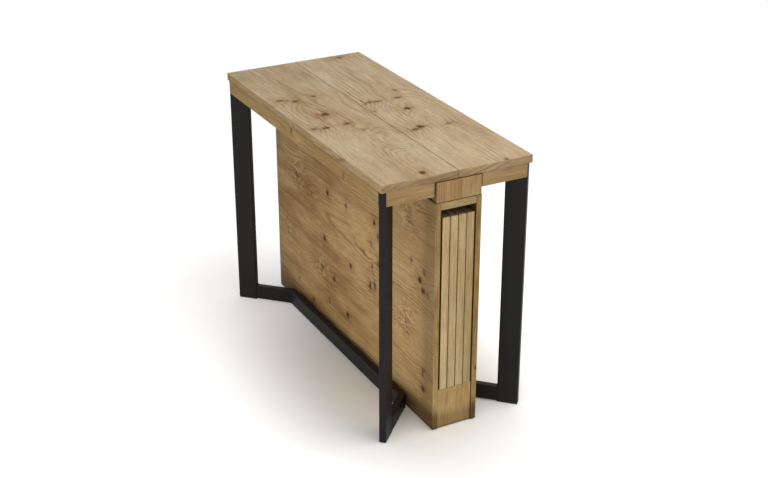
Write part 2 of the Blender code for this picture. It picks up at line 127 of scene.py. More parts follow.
class Side(Choice):
    """The two halves of the table, with the sign of the way that each draws out."""

    LEFT = -1
    RIGHT = 1

    @property
    def body(self) -> str:
        """The CAD body of this half."""
        return f"{self.word}_half"


class End(Choice):
    """The two ends of the table, with the sign of their place along Y."""

    FRONT = -1
    REAR = 1


class Grain(Enum):
    """How a board lies in the log: its axes as length, width and depth, on faces and on ends."""

    TOP = ("YXZ", "XZY")
    PANEL = ("YZX", "ZXY")
    UPRIGHT = ("ZXY", "XYZ")
    CROSS = ("XZY", "ZYX")

    @property
    def faces(self) -> str:
        """The axes that the board's faces follow."""
        return self.value[0]

    @property
    def ends(self) -> str:
        """The axes that the banded ends follow."""
        return self.value[1]


class Fitting(Enum):
    """The small parts, each with its finish in the wardrobe and a material slot name."""

    PIN = ("beech", "oak")
    SCREW = ("zinc", None)
    PLUG = ("plastic", "black_plastic")


def blank(owner: Material | bpy.types.World) -> NodeTree:
    """Gives a material or a world an empty node tree.

    Args:
        owner: The material or the world.

    Returns:
        The tree.
    """
    owner.use_nodes = True
    owner.node_tree.nodes.clear()
    return owner.node_tree


class Sheet:
    """A node tree on which a material or a shared effect is laid out."""

    def __init__(self, tree: NodeTree) -> None:
        """Takes the tree that the nodes go on."""
        self.tree = tree

    def add(self, kind: str, feeds: Feeds | None = None, **settings: object) -> Node:
        """Adds one node.

        Args:
            kind: Blender's name of the node type.
            feeds: What goes into its sockets by name or number, a value or another socket.
            **settings: The node's own properties.

        Returns:
            The node.
        """
        node = self.tree.nodes.new(kind)
        for name, value in settings.items():
            setattr(node, name, value)
        for name, value in (feeds or {}).items():
            self.feed(node.inputs[name], value)
        return node

    def feed(self, socket: Socket, value: Feed) -> None:
        """Links a socket to another, or sets its value.

        Args:
            socket: The socket that is fed.
            value: A value, or the socket it comes from.
        """
        if isinstance(value, bpy.types.NodeSocket):
            self.tree.links.new(value, socket)
        else:
            socket.default_value = value

    def group(self, tree: NodeTree, feeds: Feeds) -> Sockets:
        """Places a shared effect with its own values, and gives its output sockets."""
        return self.add("ShaderNodeGroup", feeds, node_tree=tree).outputs

    def axes(self, vector: Socket) -> Sockets:
        """Gives the X, Y and Z of a vector."""
        return self.add("ShaderNodeSeparateXYZ", {"Vector": vector}).outputs

    def math(self, operation: str, *values: Feed) -> Socket:
        """Adds a Math node and gives its result."""
        return self.add("ShaderNodeMath", dict(enumerate(values)), operation=operation).outputs[0]

    def times(self, value: Feed, factor: Feed) -> Socket:
        """Multiplies two values."""
        return self.math("MULTIPLY", value, factor)

    def raised(self, base: Feed, value: Feed, factor: Feed) -> Socket:
        """Gives a base raised by a factor times a value."""
        return self.math("MULTIPLY_ADD", value, factor, base)

    def bell(self, square: Socket, rate: float) -> Socket:
        """Falls from 1 towards 0 as the square of a distance grows, at the given rate."""
        return self.math("EXPONENT", self.times(square, -rate))

    def vector(self, operation: str, *values: Feed) -> Socket:
        """Adds a Vector Math node and gives its result, a number for a length or a dot product."""
        outputs = self.add("ShaderNodeVectorMath", dict(enumerate(values)), operation=operation).outputs
        return outputs["Value" if operation in ("LENGTH", "DOT_PRODUCT") else "Vector"]

    def noise(
        self, place: Socket, stretch: Feed, detail: float, shift: Feed = ORIGIN, twist: float = 0.0
    ) -> Sockets:
        """Adds a noise stretched by its own Mapping node.

        Args:
            place: The coordinates it reads.
            stretch: Cycles per metre along each axis.
            detail: How much finer noise is added.
            shift: How far the pattern is moved.
            twist: How far the pattern is distorted.

        Returns:
            The noise's output sockets.
        """
        mapping = self.add("ShaderNodeMapping", {"Vector": place, "Scale": stretch, "Location": shift})
        feeds = {"Vector": mapping.outputs["Vector"], "Scale": 1.0, "Detail": detail, "Distortion": twist}
        return self.add("ShaderNodeTexNoise", {**feeds, "Roughness": NOISE_ROUGHNESS}).outputs

    def swing(self, share: Socket, reach: float) -> Socket:
        """Turns a noise from 0 to 1 into an offset of at most reach either way."""
        return self.times(self.math("SUBTRACT", share, 0.5), 2 * reach)

    def fade(self, value: Socket, low: Feed, high: Feed, start: float = 0.0, end: float = 1.0) -> Socket:
        """Fades softly from start to end as a value goes from low to high."""
        feeds = {"Value": value, "From Min": low, "From Max": high, "To Min": start, "To Max": end}
        return self.add("ShaderNodeMapRange", feeds, interpolation_type="SMOOTHSTEP").outputs["Result"]

    def mix(self, kind: str, base: Feed, over: Feed, share: Feed, way: str = "MIX") -> Socket:
        """Mixes two colours or two vectors.

        Args:
            kind: RGBA or VECTOR.
            base: What lies below.
            over: What is laid over it.
            share: How much of that shows.
            way: The blend type.

        Returns:
            The mixed socket.
        """
        first, second, result = MIX_SOCKETS[kind]
        feeds = {0: share, first: base, second: over}
        return self.add("ShaderNodeMix", feeds, data_type=kind, blend_type=way).outputs[result]

    def tint(self, base: Feed, over: Feed, share: Feed, way: str = "MIX") -> Socket:
        """Lays a share of one colour over another."""
        return self.mix("RGBA", base, over, share, way)

    def ramp(self, value: Socket, stops: Iterable[Span]) -> Socket:
        """Adds a grey Color Ramp.

        Args:
            value: The value that is read.
            stops: Pairs of a place from 0 to 1 and the grey there, the two ends first.

        Returns:
            The ramp's colour socket.
        """
        node = self.add("ShaderNodeValToRGB", {"Fac": value})
        steps = node.color_ramp.elements
        for number, (place, grey) in enumerate(stops):
            step = steps[number] if number < 2 else steps.new(place)
            step.position = place
            step.color = (grey, grey, grey, 1.0)
        return node.outputs["Color"]

    def turned(self, place: Socket, axes: str, shift: float = 0.0) -> Socket:
        """Reorders coordinates into length, width and depth.

        Args:
            place: The coordinates.
            axes: The three axes in their new order.
            shift: How far the pattern is moved along its depth.

        Returns:
            The reordered vector's socket.
        """
        split = self.axes(place)
        length, width, depth = (split[axis] for axis in axes)
        feeds = {"X": length, "Y": width, "Z": self.math("ADD", depth, shift)}
        return self.add("ShaderNodeCombineXYZ", feeds).outputs["Vector"]

    def seen(self) -> Socket:
        """Tells the rays that show a surface from those that only light.

        Returns:
            1 for rays of the camera, of reflections and through glass, and 0 for others.
        """
        path = self.add("ShaderNodeLightPath").outputs
        shown = self.math("MAXIMUM", path["Is Camera Ray"], path["Is Glossy Ray"])
        return self.math("MAXIMUM", shown, path["Is Transmission Ray"])


class Effect(Sheet):
    """A shared effect: a node group with named inputs and outputs."""

    def __init__(self, name: str, takes: Feeds, gives: Iterable[str]) -> None:
        """Starts the group with its sockets.

        Args:
            name: The effect's name.
            takes: Its inputs with their default values.
            gives: The names of its outputs.
        """
        super().__init__(bpy.data.node_groups.new(name, "ShaderNodeTree"))
        for socket, default in takes.items():
            kind = "NodeSocketVector" if isinstance(default, tuple) else "NodeSocketFloat"
            made = self.tree.interface.new_socket(socket, in_out="INPUT", socket_type=kind)
            made.default_value = default
        for socket in gives:
            self.tree.interface.new_socket(socket, in_out="OUTPUT", socket_type="NodeSocketFloat")
        self.take = self.add("NodeGroupInput").outputs
        self.results = self.add("NodeGroupOutput").inputs

    def give(self, name: str, value: Socket) -> None:
        """Sends a value out of the group."""
        self.feed(self.results[name], value)


@dataclass(frozen=True)
class Cloud:
    """One noise of the oak's figure, by its cycles per metre along and across the grain."""

    along: float
    across: float
    detail: float
    seed: float
    reach: float = 0.0
    fade: tuple[float, ...] = NOISE_CORE


class Effects:
    """The shared shader effects, each built once."""

    # Noises that bend the growth rings, each by its reach
    WANDER = Cloud(1.6, 4.5, detail=1.5, seed=0.0, reach=0.034)
    RIPPLE = Cloud(9.0, 30.0, detail=3.0, seed=3.1, reach=0.0080)
    CHATTER = Cloud(42.0, 110.0, detail=2.0, seed=4.3, reach=0.0030)
    SWELL = Cloud(3.2, 5.0, detail=1.0, seed=7.3, reach=0.018)

    # Noises that show as marks and tones, each as it fades in
    PATCH = Cloud(3.0, 10.0, detail=2.0, seed=1.3, fade=(0.40, 0.60, 0.18, 1.0))
    STREAK = Cloud(11.0, 150.0, detail=3.0, seed=2.6, fade=(0.54, 0.70))
    FLAME = Cloud(6.5, 62.0, detail=3.0, seed=6.4, fade=(0.58, 0.72))
    FIBRE = Cloud(30.0, 420.0, detail=3.0, seed=0.9)
    PORE = Cloud(75.0, 1500.0, detail=1.0, seed=1.7, fade=(0.57, 0.70))
    BROAD = Cloud(3.0, 9.0, detail=3.0, seed=5.5)
    SMALL = Cloud(9.0, 26.0, detail=3.0, seed=8.2)
    NARROW = Cloud(2.0, 38.0, detail=3.0, seed=2.2)
    CURLS = {"stretch": (38.0, 74.0, 74.0), "detail": 1.0, "shift": (9.7, 6.8, 18.4), "twist": 1.3}
    SEED_WAY = (1.0, 0.7, 1.9)
    GLINT_FADE = (0.32, 0.46, 1.0, 0.0)
    FAINTEST_YEAR = 0.20
    FEWEST_PORES = 0.3
    TONE_SHARES = (0.58, 0.28, 0.14)

    # Knots, by the distance from their middle in half sizes
    IN_PLANE = (1.0, 1.0, 0.0)
    KNOT_CORE = (0.30, 1.35, 1.0, 0.0)
    KNOT_HALO = 0.13
    KNOT_CURL = 0.12
    KNOT_BULGE = (0.20, 0.42, 0.0)
    PIN_SIZE = (0.040, 0.060)
    PIN_CORE = (0.3, 1.1, 0.9, 0.0)
    PIN_HALO = 0.30
    PIN_BULGE = 0.10
    PIN_CURL = 0.35

    # Edges, worn and with a painted highlight, and coats
    EDGE_RADIUS = 0.0022
    EDGE_TURN = (0.01, 0.22)
    EDGE_PATCHES = (0.38, 0.62, 0.45, 1.0)
    MOTTLE_FADE = (0.30, 0.70)

    def __init__(self) -> None:
        """Builds every group."""
        self.figure = self.build_figure()
        self.knot = self.build_knot()
        self.pin_knots = self.build_pin_knots()
        self.edge = self.build_edge()
        self.mottle = self.build_mottle()

    def build_figure(self) -> NodeTree:
        """The oak's figure: growth rings cut by the board, streaks, fibres, pores and slow clouds.

        Returns:
            The node group.
        """
        takes = {"Position": ORIGIN, "Heart": 0.0, "Depth": 0.05, "Rise": 0.04}
        takes.update({"Arch Start": -0.5, "Arch End": 0.5, "Ring": 0.0045, "Lift": 0.0})
        gives = ("Rings", "Streaks", "Glints", "Flames", "Fibre", "Pores", "Curls", "Tone")
        sheet = Effect("oak_figure", takes, gives)
        take = sheet.take
        place = take["Position"]
        along, across, deep = sheet.axes(place)

        def cloud(kind: Cloud) -> Socket:
            """Adds one noise, moved by its own seed."""
            shift = tuple(kind.seed * part for part in self.SEED_WAY)
            return sheet.noise(place, (kind.along, kind.across, kind.across), kind.detail, shift)["Fac"]

        def bend(kind: Cloud) -> Socket:
            """Adds one noise as an offset of at most its reach either way."""
            return sheet.swing(cloud(kind), kind.reach)

        def marks(kind: Cloud) -> Socket:
            """Adds one noise as marks that fade in."""
            return sheet.fade(cloud(kind), *kind.fade)

        # Rings: the distance from the heart of a log that bends, swells and climbs under the board
        bends = [bend(kind) for kind in (self.WANDER, self.RIPPLE, self.CHATTER)]
        swell = bend(self.SWELL)
        from_heart = sheet.math("SUBTRACT", across, take["Heart"])
        for offset in bends:
            from_heart = sheet.math("ADD", from_heart, offset)
        climb = sheet.fade(along, take["Arch Start"], take["Arch End"])
        below = sheet.raised(take["Depth"], climb, take["Rise"])
        below = sheet.math("ADD", sheet.math("ADD", below, deep), swell)
        squares = sheet.raised(sheet.times(from_heart, from_heart), below, below)
        radius = sheet.math("ADD", sheet.math("SQRT", squares), take["Lift"])
        age = sheet.math("DIVIDE", radius, take["Ring"])
        band = sheet.ramp(sheet.math("FRACT", age), RING_PROFILE)
        year = sheet.add("ShaderNodeTexWhiteNoise", {"W": sheet.math("FLOOR", age)}, noise_dimensions="1D")
        strength = sheet.raised(self.FAINTEST_YEAR, year.outputs["Value"], 1 - self.FAINTEST_YEAR)
        patch = marks(self.PATCH)
        sheet.give("Rings", sheet.times(band, sheet.times(strength, patch)))

        # Marks along the grain
        streak = cloud(self.STREAK)
        sheet.give("Streaks", sheet.fade(streak, *self.STREAK.fade))
        sheet.give("Glints", sheet.fade(streak, *self.GLINT_FADE))
        sheet.give("Flames", marks(self.FLAME))
        sheet.give("Fibre", marks(self.FIBRE))
        sheet.give("Curls", sheet.noise(place, **self.CURLS)["Fac"])
        dashes = marks(self.PORE)
        room = sheet.raised(self.FEWEST_PORES, band, 1 - self.FEWEST_PORES)
        sheet.give("Pores", sheet.times(dashes, room))

        # Slow clouds of tone
        broad, small, narrow = [marks(kind) for kind in (self.BROAD, self.SMALL, self.NARROW)]
        most, some, least = self.TONE_SHARES
        tone = sheet.raised(sheet.times(broad, most), small, some)
        sheet.give("Tone", sheet.raised(tone, narrow, least))
        return sheet.tree

    def build_knot(self) -> NodeTree:
        """One knot: a dark core, a brown halo and curls, with the rings lifted round it.

        Returns:
            The node group.
        """
        takes = {"Position": ORIGIN, "Centre": ORIGIN, "Half Size": (0.005, 0.010, 1.0), "Swirl": 0.010}
        takes.update({"Strength": 1.0, "Curling": 0.0, **dict.fromkeys(KNOT_MASKS, 0.0)})
        sheet = Effect("oak_knot", takes, KNOT_MASKS)
        take = sheet.take
        offset = sheet.vector("SUBTRACT", take["Position"], take["Centre"])
        flat = sheet.vector("MULTIPLY", offset, self.IN_PLANE)
        near = sheet.vector("DIVIDE", flat, take["Half Size"])
        distance = sheet.vector("LENGTH", near)
        square = sheet.times(distance, distance)
        core = sheet.times(sheet.fade(distance, *self.KNOT_CORE), take["Strength"])
        halo = sheet.times(sheet.bell(square, self.KNOT_HALO), take["Strength"])
        curl = sheet.times(sheet.bell(square, self.KNOT_CURL), take["Curling"])
        for name, mask in (("Core", core), ("Halo", halo), ("Curl", curl)):
            sheet.give(name, sheet.math("MAXIMUM", take[name], mask))
        wide = sheet.vector("MULTIPLY", near, self.KNOT_BULGE)
        bulge = sheet.bell(sheet.vector("DOT_PRODUCT", wide, wide), 1.0)
        sheet.give("Lift", sheet.raised(take["Lift"], bulge, take["Swirl"]))
        return sheet.tree

    def build_pin_knots(self) -> NodeTree:
        """Small knots strewn over a board, taller across the grain than along it.

        Returns:
            The node group.
        """
        takes = {"Position": ORIGIN, "Along": 13.0, "Across": 7.0, "Share": 0.5, "Swirl": 0.006}
        sheet = Effect("oak_pin_knots", takes, KNOT_MASKS)
        take = sheet.take
        stretch = sheet.add("ShaderNodeCombineXYZ", {"X": take["Along"], "Y": take["Across"]})
        cells = sheet.vector("MULTIPLY", take["Position"], stretch.outputs["Vector"])
        feeds = {"Vector": cells, "Scale": 1.0}
        spots = sheet.add("ShaderNodeTexVoronoi", feeds, voronoi_dimensions="2D").outputs
        chance = sheet.add("ShaderNodeSeparateColor", {"Color": spots["Color"]}).outputs
        present = sheet.math("LESS_THAN", chance["Red"], take["Share"])
        least, more = self.PIN_SIZE
        size = sheet.raised(least, chance["Green"], more)
        distance = sheet.math("DIVIDE", spots["Distance"], size)
        square = sheet.times(distance, distance)
        halo = sheet.times(sheet.bell(square, self.PIN_HALO), present)
        bulge = sheet.times(sheet.bell(square, self.PIN_BULGE), present)
        sheet.give("Core", sheet.times(sheet.fade(distance, *self.PIN_CORE), present))
        sheet.give("Halo", halo)
        sheet.give("Curl", sheet.times(halo, self.PIN_CURL))
        sheet.give("Lift", sheet.times(bulge, take["Swirl"]))
        return sheet.tree

    def build_edge(self) -> NodeTree:
        """A mask of the rounded edges, broken up by noise: rubbed wear, and on the slabs and the steel also
        a painted highlight.

        Returns:
            The node group.
        """
        sheet = Effect("edge_abrasion_and_highlight", {"Position": ORIGIN, "Breakup": 60.0}, ("Mask",))
        rounded = sheet.add("ShaderNodeBevel", {"Radius": self.EDGE_RADIUS}, samples=4).outputs["Normal"]
        surface = sheet.add("ShaderNodeNewGeometry").outputs["Normal"]
        facing = sheet.vector("DOT_PRODUCT", rounded, surface)
        turn = sheet.fade(sheet.math("SUBTRACT", 1.0, facing), *self.EDGE_TURN)
        feeds = {"Vector": sheet.take["Position"], "Scale": sheet.take["Breakup"], "Detail": 3.0}
        patches = sheet.add("ShaderNodeTexNoise", feeds).outputs["Fac"]
        sheet.give("Mask", sheet.times(turn, sheet.fade(patches, *self.EDGE_PATCHES)))
        return sheet.tree

    def build_mottle(self) -> NodeTree:
        """A coarse mottle and a fine grain, for coats and mouldings.

        Returns:
            The node group.
        """
        takes = {"Position": ORIGIN, "Coarse": 14.0, "Fine": 1400.0}
        sheet = Effect("coat_mottle", takes, ("Mottle", "Grain"))
        place = {"Vector": sheet.take["Position"]}
        coarse = {"Scale": sheet.take["Coarse"], "Detail": 4.0}
        fine = {"Scale": sheet.take["Fine"], "Detail": 1.0}
        patches = sheet.add("ShaderNodeTexNoise", {**place, **coarse}).outputs["Fac"]
        sheet.give("Mottle", sheet.fade(patches, *self.MOTTLE_FADE))
        sheet.give("Grain", sheet.add("ShaderNodeTexNoise", {**place, **fine}).outputs["Fac"])
        return sheet.tree


class Surface(Sheet):
    """The sheet of one material, with its coordinates and the shared effects at hand."""

    def __init__(self, material: Material, effects: Effects) -> None:
        """Empties the material's tree and takes the object coordinates.

        Args:
            material: The material.
            effects: The shared effects.
        """
        super().__init__(blank(material))
        self.effects = effects
        self.place = self.add("ShaderNodeTexCoord").outputs["Object"]

    def facing(self, axis: str) -> Socket:
        """Gives how far a surface faces along X, Y or Z, from -1 to 1."""
        return self.axes(self.add("ShaderNodeTexCoord").outputs["Normal"])[axis]

    def mottle(self, coarse: float = 14.0, fine: float = 1400.0) -> Sockets:
        """Gives the mottle and the fine grain of a coat, by their cycles per metre."""
        return self.group(self.effects.mottle, {"Position": self.place, "Coarse": coarse, "Fine": fine})

    def wear_highlight_mask(self, breakup: float = 60.0) -> Socket:
        """Gives the mask of rounded edges, for wear and a painted highlight, broken up at so many cycles per
        metre.
        """
        return self.group(self.effects.edge, {"Position": self.place, "Breakup": breakup})["Mask"]

    def bump(self, height: Socket, strength: float, distance: float) -> Socket:
        """Turns a height into a normal, by its strength and its depth in metres."""
        feeds = {"Height": height, "Strength": strength, "Distance": distance}
        return self.add("ShaderNodeBump", feeds).outputs["Normal"]


@dataclass(frozen=True)
class Knot:
    """One knot of a board, in the board's length and width."""

    along: float
    across: float
    half_along: float = 0.0105
    half_across: float = 0.0110
    swirl: float = 0.010
    strength: float = 1.0
    curl: float = 0.0


@dataclass(frozen=True)
class DarkStrip:
    """A dark line along a joint, or a strip of painted shade along an edge, which may fade along another
    axis.
    """

    axis: str
    place: float
    reach: float = 0.0016
    strength: float = 0.80
    faces_only: bool = False
    fades: tuple[str, float, float] | None = None


class Finish:
    """What every finish shares: a material with one Principled shader."""

    name: str

    def paint(self, sheet: Surface) -> Feeds:
        """Says what feeds the shader, each finish in its own way."""
        raise NotImplementedError

    def material(self, effects: Effects) -> Material:
        """Builds the material.

        Args:
            effects: The shared effects.

        Returns:
            The material.
        """
        material = bpy.data.materials.new(self.name)
        sheet = Surface(material, effects)
        shader = sheet.add("ShaderNodeBsdfPrincipled", self.paint(sheet))
        sheet.add("ShaderNodeOutputMaterial", {"Surface": shader.outputs["BSDF"]})
        return material


@dataclass(frozen=True)
class OakVeneer(Finish):
    """Oiled oak veneer, cut from its own place in the log."""

    name: str
    grain: Grain
    pale: Tone
    deep: Tone
    heart: float = 0.0
    depth: float = 0.05
    rise: float = 0.04
    arch: Span = (-0.5, 0.5)
    ring: float = 0.0045
    figure: float = 0.60
    contrast: float = 1.0
    # How much of the pale edge tone shows: partly wear, partly a painted highlight along the rounded edges
    wear_highlight_share: float = 0.22
    drift: tuple[float, float, float, float] = (-0.5, 0.5, 0.0, 0.0)
    lively: Triple = (0.0, 0.2, 0.5)
    calm: float = 1.0
    band: Tone = WHITE
    joining: Tone = WHITE
    # Painted shade: the face that looks into the store, picked by inward's sign, takes the dark tone below
    inward: int = 0
    inner_shade: Tone = (0.22, 0.18, 0.14, 1.0)
    pin_share: float = 0.0
    knots: tuple[Knot, ...] = ()
    glue_lines: tuple[DarkStrip, ...] = ()
    line: Tone = shade(112, 82, 48)
    glint: Tone = shade(214, 186, 138)
    pore: Tone = shade(92, 64, 38)
    halo: Tone = shade(132, 94, 48)
    core: Tone = shade(66, 36, 8)
    curl: Tone = shade(246, 224, 180)
    # The tone of the dark strips: dark joints, and painted shade where a strip stands for shade
    glue: Tone = shade(62, 40, 20)
    # The pale edge tone: wear, and a painted highlight along the rounded edges
    wear_highlight_tone: Tone = shade(214, 192, 158)
    streak_share: float = 0.34
    glint_share: float = 0.30
    flame_share: float = 0.26
    fibre_share: float = 0.20
    pore_share: float = 0.40
    halo_share: float = 0.85
    core_share: float = 0.96
    pale_curls: tuple[float, ...] = (0.50, 0.66, 0.0, 0.85)
    dark_curls: tuple[float, ...] = (0.34, 0.48, 0.75, 0.0)
    knot_rings: float = 0.6
    knot_glint: float = 0.80
    even_stain: float = 0.5
    roughness: float = 0.50
    rougher: tuple[tuple[str, float], ...] = (("Rings", 0.08), ("Fibre", 0.06), ("Pores", 0.12))
    fibre_height: float = 0.35
    pore_height: float = -0.8
    core_height: float = -0.5
    specular: float = 0.06
    relief: Span = (0.30, 0.0004)

    def position(self, sheet: Surface) -> Socket:
        """Gives the place in the log, with banded ends that have a grain of their own.

        Args:
            sheet: The material's sheet.

        Returns:
            The vector of length, width and depth.
        """
        along = sheet.math("ABSOLUTE", sheet.facing(self.grain.faces[0]))
        faces = sheet.turned(sheet.place, self.grain.faces)
        ends = sheet.turned(sheet.place, self.grain.ends, END_SHIFT)
        return sheet.mix("VECTOR", faces, ends, sheet.fade(along, *END_TURN))

    def lay_knots(self, sheet: Surface, place: Socket) -> Sockets:
        """Chains the board's own knots after its strewn ones.

        Args:
            sheet: The material's sheet.
            place: The place in the log.

        Returns:
            The sockets of lift, core, halo and curl.
        """
        torn = sheet.noise(place, TORN_STRETCH, TORN_DETAIL)["Color"]
        torn = sheet.vector("SUBTRACT", torn, HALF)
        ragged = sheet.vector("ADD", place, sheet.vector("MULTIPLY", torn, TORN_REACH))
        masks = sheet.group(sheet.effects.pin_knots, {"Position": ragged, "Share": self.pin_share})
        for knot in self.knots:
            feeds = {
                "Position": ragged,
                "Centre": (knot.along, knot.across, 0.0),
                "Half Size": (knot.half_along, knot.half_across, 1.0),
                "Swirl": knot.swirl,
                "Strength": knot.strength,
                "Curling": knot.curl,
            }
            feeds.update({name: masks[name] for name in KNOT_MASKS})
            masks = sheet.group(sheet.effects.knot, feeds)
        return masks

    def colour(self, sheet: Surface, place: Socket, figure: Sockets, knots: Sockets) -> Socket:
        """Lays the figure, the knots and the pale edges, partly wear and partly a painted highlight, over
        the board's tones.

        Args:
            sheet: The material's sheet.
            place: The place in the log.
            figure: The masks of the figure.
            knots: The masks of the knots.

        Returns:
            The colour.
        """
        along = sheet.axes(place)["X"]
        tone = sheet.math("ADD", figure["Tone"], sheet.fade(along, *self.drift))
        colour = sheet.tint(self.pale, self.deep, tone)
        middle, near, far = self.lively
        away = sheet.math("ABSOLUTE", sheet.math("SUBTRACT", along, middle))
        shown = sheet.fade(away, near, far, self.figure, self.calm * self.figure)
        bright = sheet.raised(self.glint_share * self.contrast, knots["Halo"], self.knot_glint)
        stain = sheet.raised(self.even_stain, figure["Streaks"], 1 - self.even_stain)
        stained = sheet.times(knots["Halo"], stain)
        pale_curls = sheet.fade(figure["Curls"], *self.pale_curls)
        dark_curls = sheet.fade(figure["Curls"], *self.dark_curls)
        layers = (
            (self.line, figure["Rings"], sheet.raised(shown, knots["Halo"], self.knot_rings)),
            (self.line, figure["Streaks"], self.streak_share * self.contrast),
            (self.glint, figure["Glints"], bright),
            (self.line, figure["Flames"], self.flame_share * self.contrast),
            (self.line, figure["Fibre"], self.fibre_share * self.contrast),
            (self.curl, pale_curls, knots["Curl"]),
            (self.line, dark_curls, knots["Curl"]),
            (self.pore, figure["Pores"], self.pore_share),
            (self.halo, stained, self.halo_share),
            (self.core, knots["Core"], self.core_share),
            # Pale rounded edges: partly wear, partly a painted highlight
            (self.wear_highlight_tone, sheet.wear_highlight_mask(), self.wear_highlight_share),
        )
        for over, mask, share in layers:
            colour = sheet.tint(colour, over, sheet.times(mask, share))
        return colour

    def tint_faces(self, sheet: Surface, colour: Socket) -> Socket:
        """Tints the narrow edges, the joining edges and the inner face, and draws the dark strips; the inner
        face's dark tone is painted shade, as are the leaves' dark joining edges and several strips.

        Args:
            sheet: The material's sheet.
            colour: The colour so far.

        Returns:
            The tinted colour.
        """
        _, width, depth = self.grain.faces
        through = sheet.facing(depth)
        narrow = sheet.fade(sheet.math("ABSOLUTE", through), *FACE_TURN, 1.0, 0.0)
        beside = sheet.fade(sheet.math("ABSOLUTE", sheet.facing(width)), *FACE_TURN)
        # Painted shade on the face that looks into the store
        inside = sheet.fade(sheet.times(through, float(self.inward)), *FACE_TURN)
        for tone, share in ((self.band, narrow), (self.joining, beside), (self.inner_shade, inside)):
            colour = sheet.tint(colour, tone, share, "MULTIPLY")
        split = sheet.axes(sheet.place)
        for line in self.glue_lines:
            away = sheet.math("ABSOLUTE", sheet.math("SUBTRACT", split[line.axis], line.place))
            share = sheet.fade(away, LINE_CORE * line.reach, line.reach, line.strength, 0.0)
            if line.faces_only:
                share = sheet.times(share, sheet.math("SUBTRACT", 1.0, narrow))
            if line.fades:
                axis, whole, gone = line.fades
                share = sheet.times(share, sheet.fade(split[axis], whole, gone, 1.0, 0.0))
            colour = sheet.tint(colour, self.glue, share)
        return colour

    def paint(self, sheet: Surface) -> Feeds:
        """Lays out the veneer's colour, its satin oil and its pores.

        Args:
            sheet: The material's sheet.

        Returns:
            What feeds the shader.
        """
        place = self.position(sheet)
        knots = self.lay_knots(sheet, place)
        feeds = {"Position": place, "Heart": self.heart, "Depth": self.depth, "Rise": self.rise}
        feeds.update({"Arch Start": self.arch[0], "Arch End": self.arch[1]})
        feeds.update({"Ring": self.ring, "Lift": knots["Lift"]})
        figure = sheet.group(sheet.effects.figure, feeds)
        rough = self.roughness
        for mask, gain in self.rougher:
            rough = sheet.raised(rough, figure[mask], gain)
        height = sheet.times(figure["Fibre"], self.fibre_height)
        height = sheet.raised(height, figure["Pores"], self.pore_height)
        height = sheet.raised(height, knots["Core"], self.core_height)
        return {
            "Base Color": self.tint_faces(sheet, self.colour(sheet, place, figure, knots)),
            "Roughness": rough,
            "Specular IOR Level": self.specular,
            "Normal": sheet.bump(height, *self.relief),
        }


@dataclass(frozen=True)
class PowderCoat(Finish):
    """Satin black powder coat on steel tube."""

    name: str = "black_powder_coat"
    body: Tone = shade(16, 14, 13)
    faded: Tone = shade(24, 21, 19)
    # The edge tone is partly wear and partly a painted highlight along the rounded edges
    edge: Tone = shade(52, 48, 44)
    edge_share: float = 0.35
    roughness: float = 0.42
    mottle_rough: float = 0.08
    grain_rough: float = 0.10
    specular: float = 0.20
    relief: Span = (0.12, 0.0003)

    def paint(self, sheet: Surface) -> Feeds:
        """Lays out the coat's mottle, its thin edges, lighter as wear and as a painted highlight, and its
        orange peel.

        Args:
            sheet: The material's sheet.

        Returns:
            What feeds the shader.
        """
        mottle, grain = sheet.mottle()
        colour = sheet.tint(self.body, self.faded, mottle)
        rough = sheet.raised(self.roughness, mottle, self.mottle_rough)
        return {
            "Base Color": sheet.tint(colour, self.edge, sheet.times(sheet.wear_highlight_mask(), self.edge_share)),
            "Roughness": sheet.raised(rough, grain, self.grain_rough),
            "Specular IOR Level": self.specular,
            "Normal": sheet.bump(grain, *self.relief),
        }


@dataclass(frozen=True)
class DrawnAluminium(Finish):
    """Extruded aluminium, with fine lines along X from the die."""

    name: str = "drawn_aluminium"
    bright: Tone = shade(206, 207, 208)
    dull: Tone = shade(172, 173, 175)
    stretch: Triple = (3.0, 1900.0, 1900.0)
    detail: float = 3.0
    dull_lines: Span = (0.30, 0.70)
    coarse: float = 22.0
    roughness: float = 0.26
    line_rough: float = 0.16
    mottle_rough: float = 0.08
    relief: Span = (0.10, 0.0002)

    def paint(self, sheet: Surface) -> Feeds:
        """Lays out the die lines and a slow mottle.

        Args:
            sheet: The material's sheet.

        Returns:
            What feeds the shader.
        """
        lines = sheet.noise(sheet.place, self.stretch, self.detail)["Fac"]
        mottle, _ = sheet.mottle(self.coarse)
        rough = sheet.raised(self.roughness, lines, self.line_rough)
        return {
            "Base Color": sheet.tint(self.bright, self.dull, sheet.fade(lines, *self.dull_lines)),
            "Metallic": 1.0,
            "Roughness": sheet.raised(rough, mottle, self.mottle_rough),
            "Normal": sheet.bump(lines, *self.relief),
        }


@dataclass(frozen=True)
class MouldedPlastic(Finish):
    """Moulded black plastic with a fine spark-eroded grain."""

    name: str = "moulded_plastic"
    body: Tone = shade(34, 33, 33)
    scuffs_and_shade: Tone = shade(74, 72, 70)
    scuff_share: float = 0.4
    coarse: float = 90.0
    fine: float = 2600.0
    roughness: float = 0.50
    mottle_rough: float = 0.12
    relief: Span = (0.20, 0.0002)

    def paint(self, sheet: Surface) -> Feeds:
        """Lays out the moulding's scuffed edges and its grain.

        Args:
            sheet: The material's sheet.

        Returns:
            What feeds the shader.
        """
        mottle, grain = sheet.mottle(self.coarse, self.fine)
        return {
            "Base Color": sheet.tint(self.body, self.scuffs_and_shade, sheet.times(sheet.wear_highlight_mask(), self.scuff_share)),
            "Roughness": sheet.raised(self.roughness, mottle, self.mottle_rough),
            "Normal": sheet.bump(grain, *self.relief),
        }


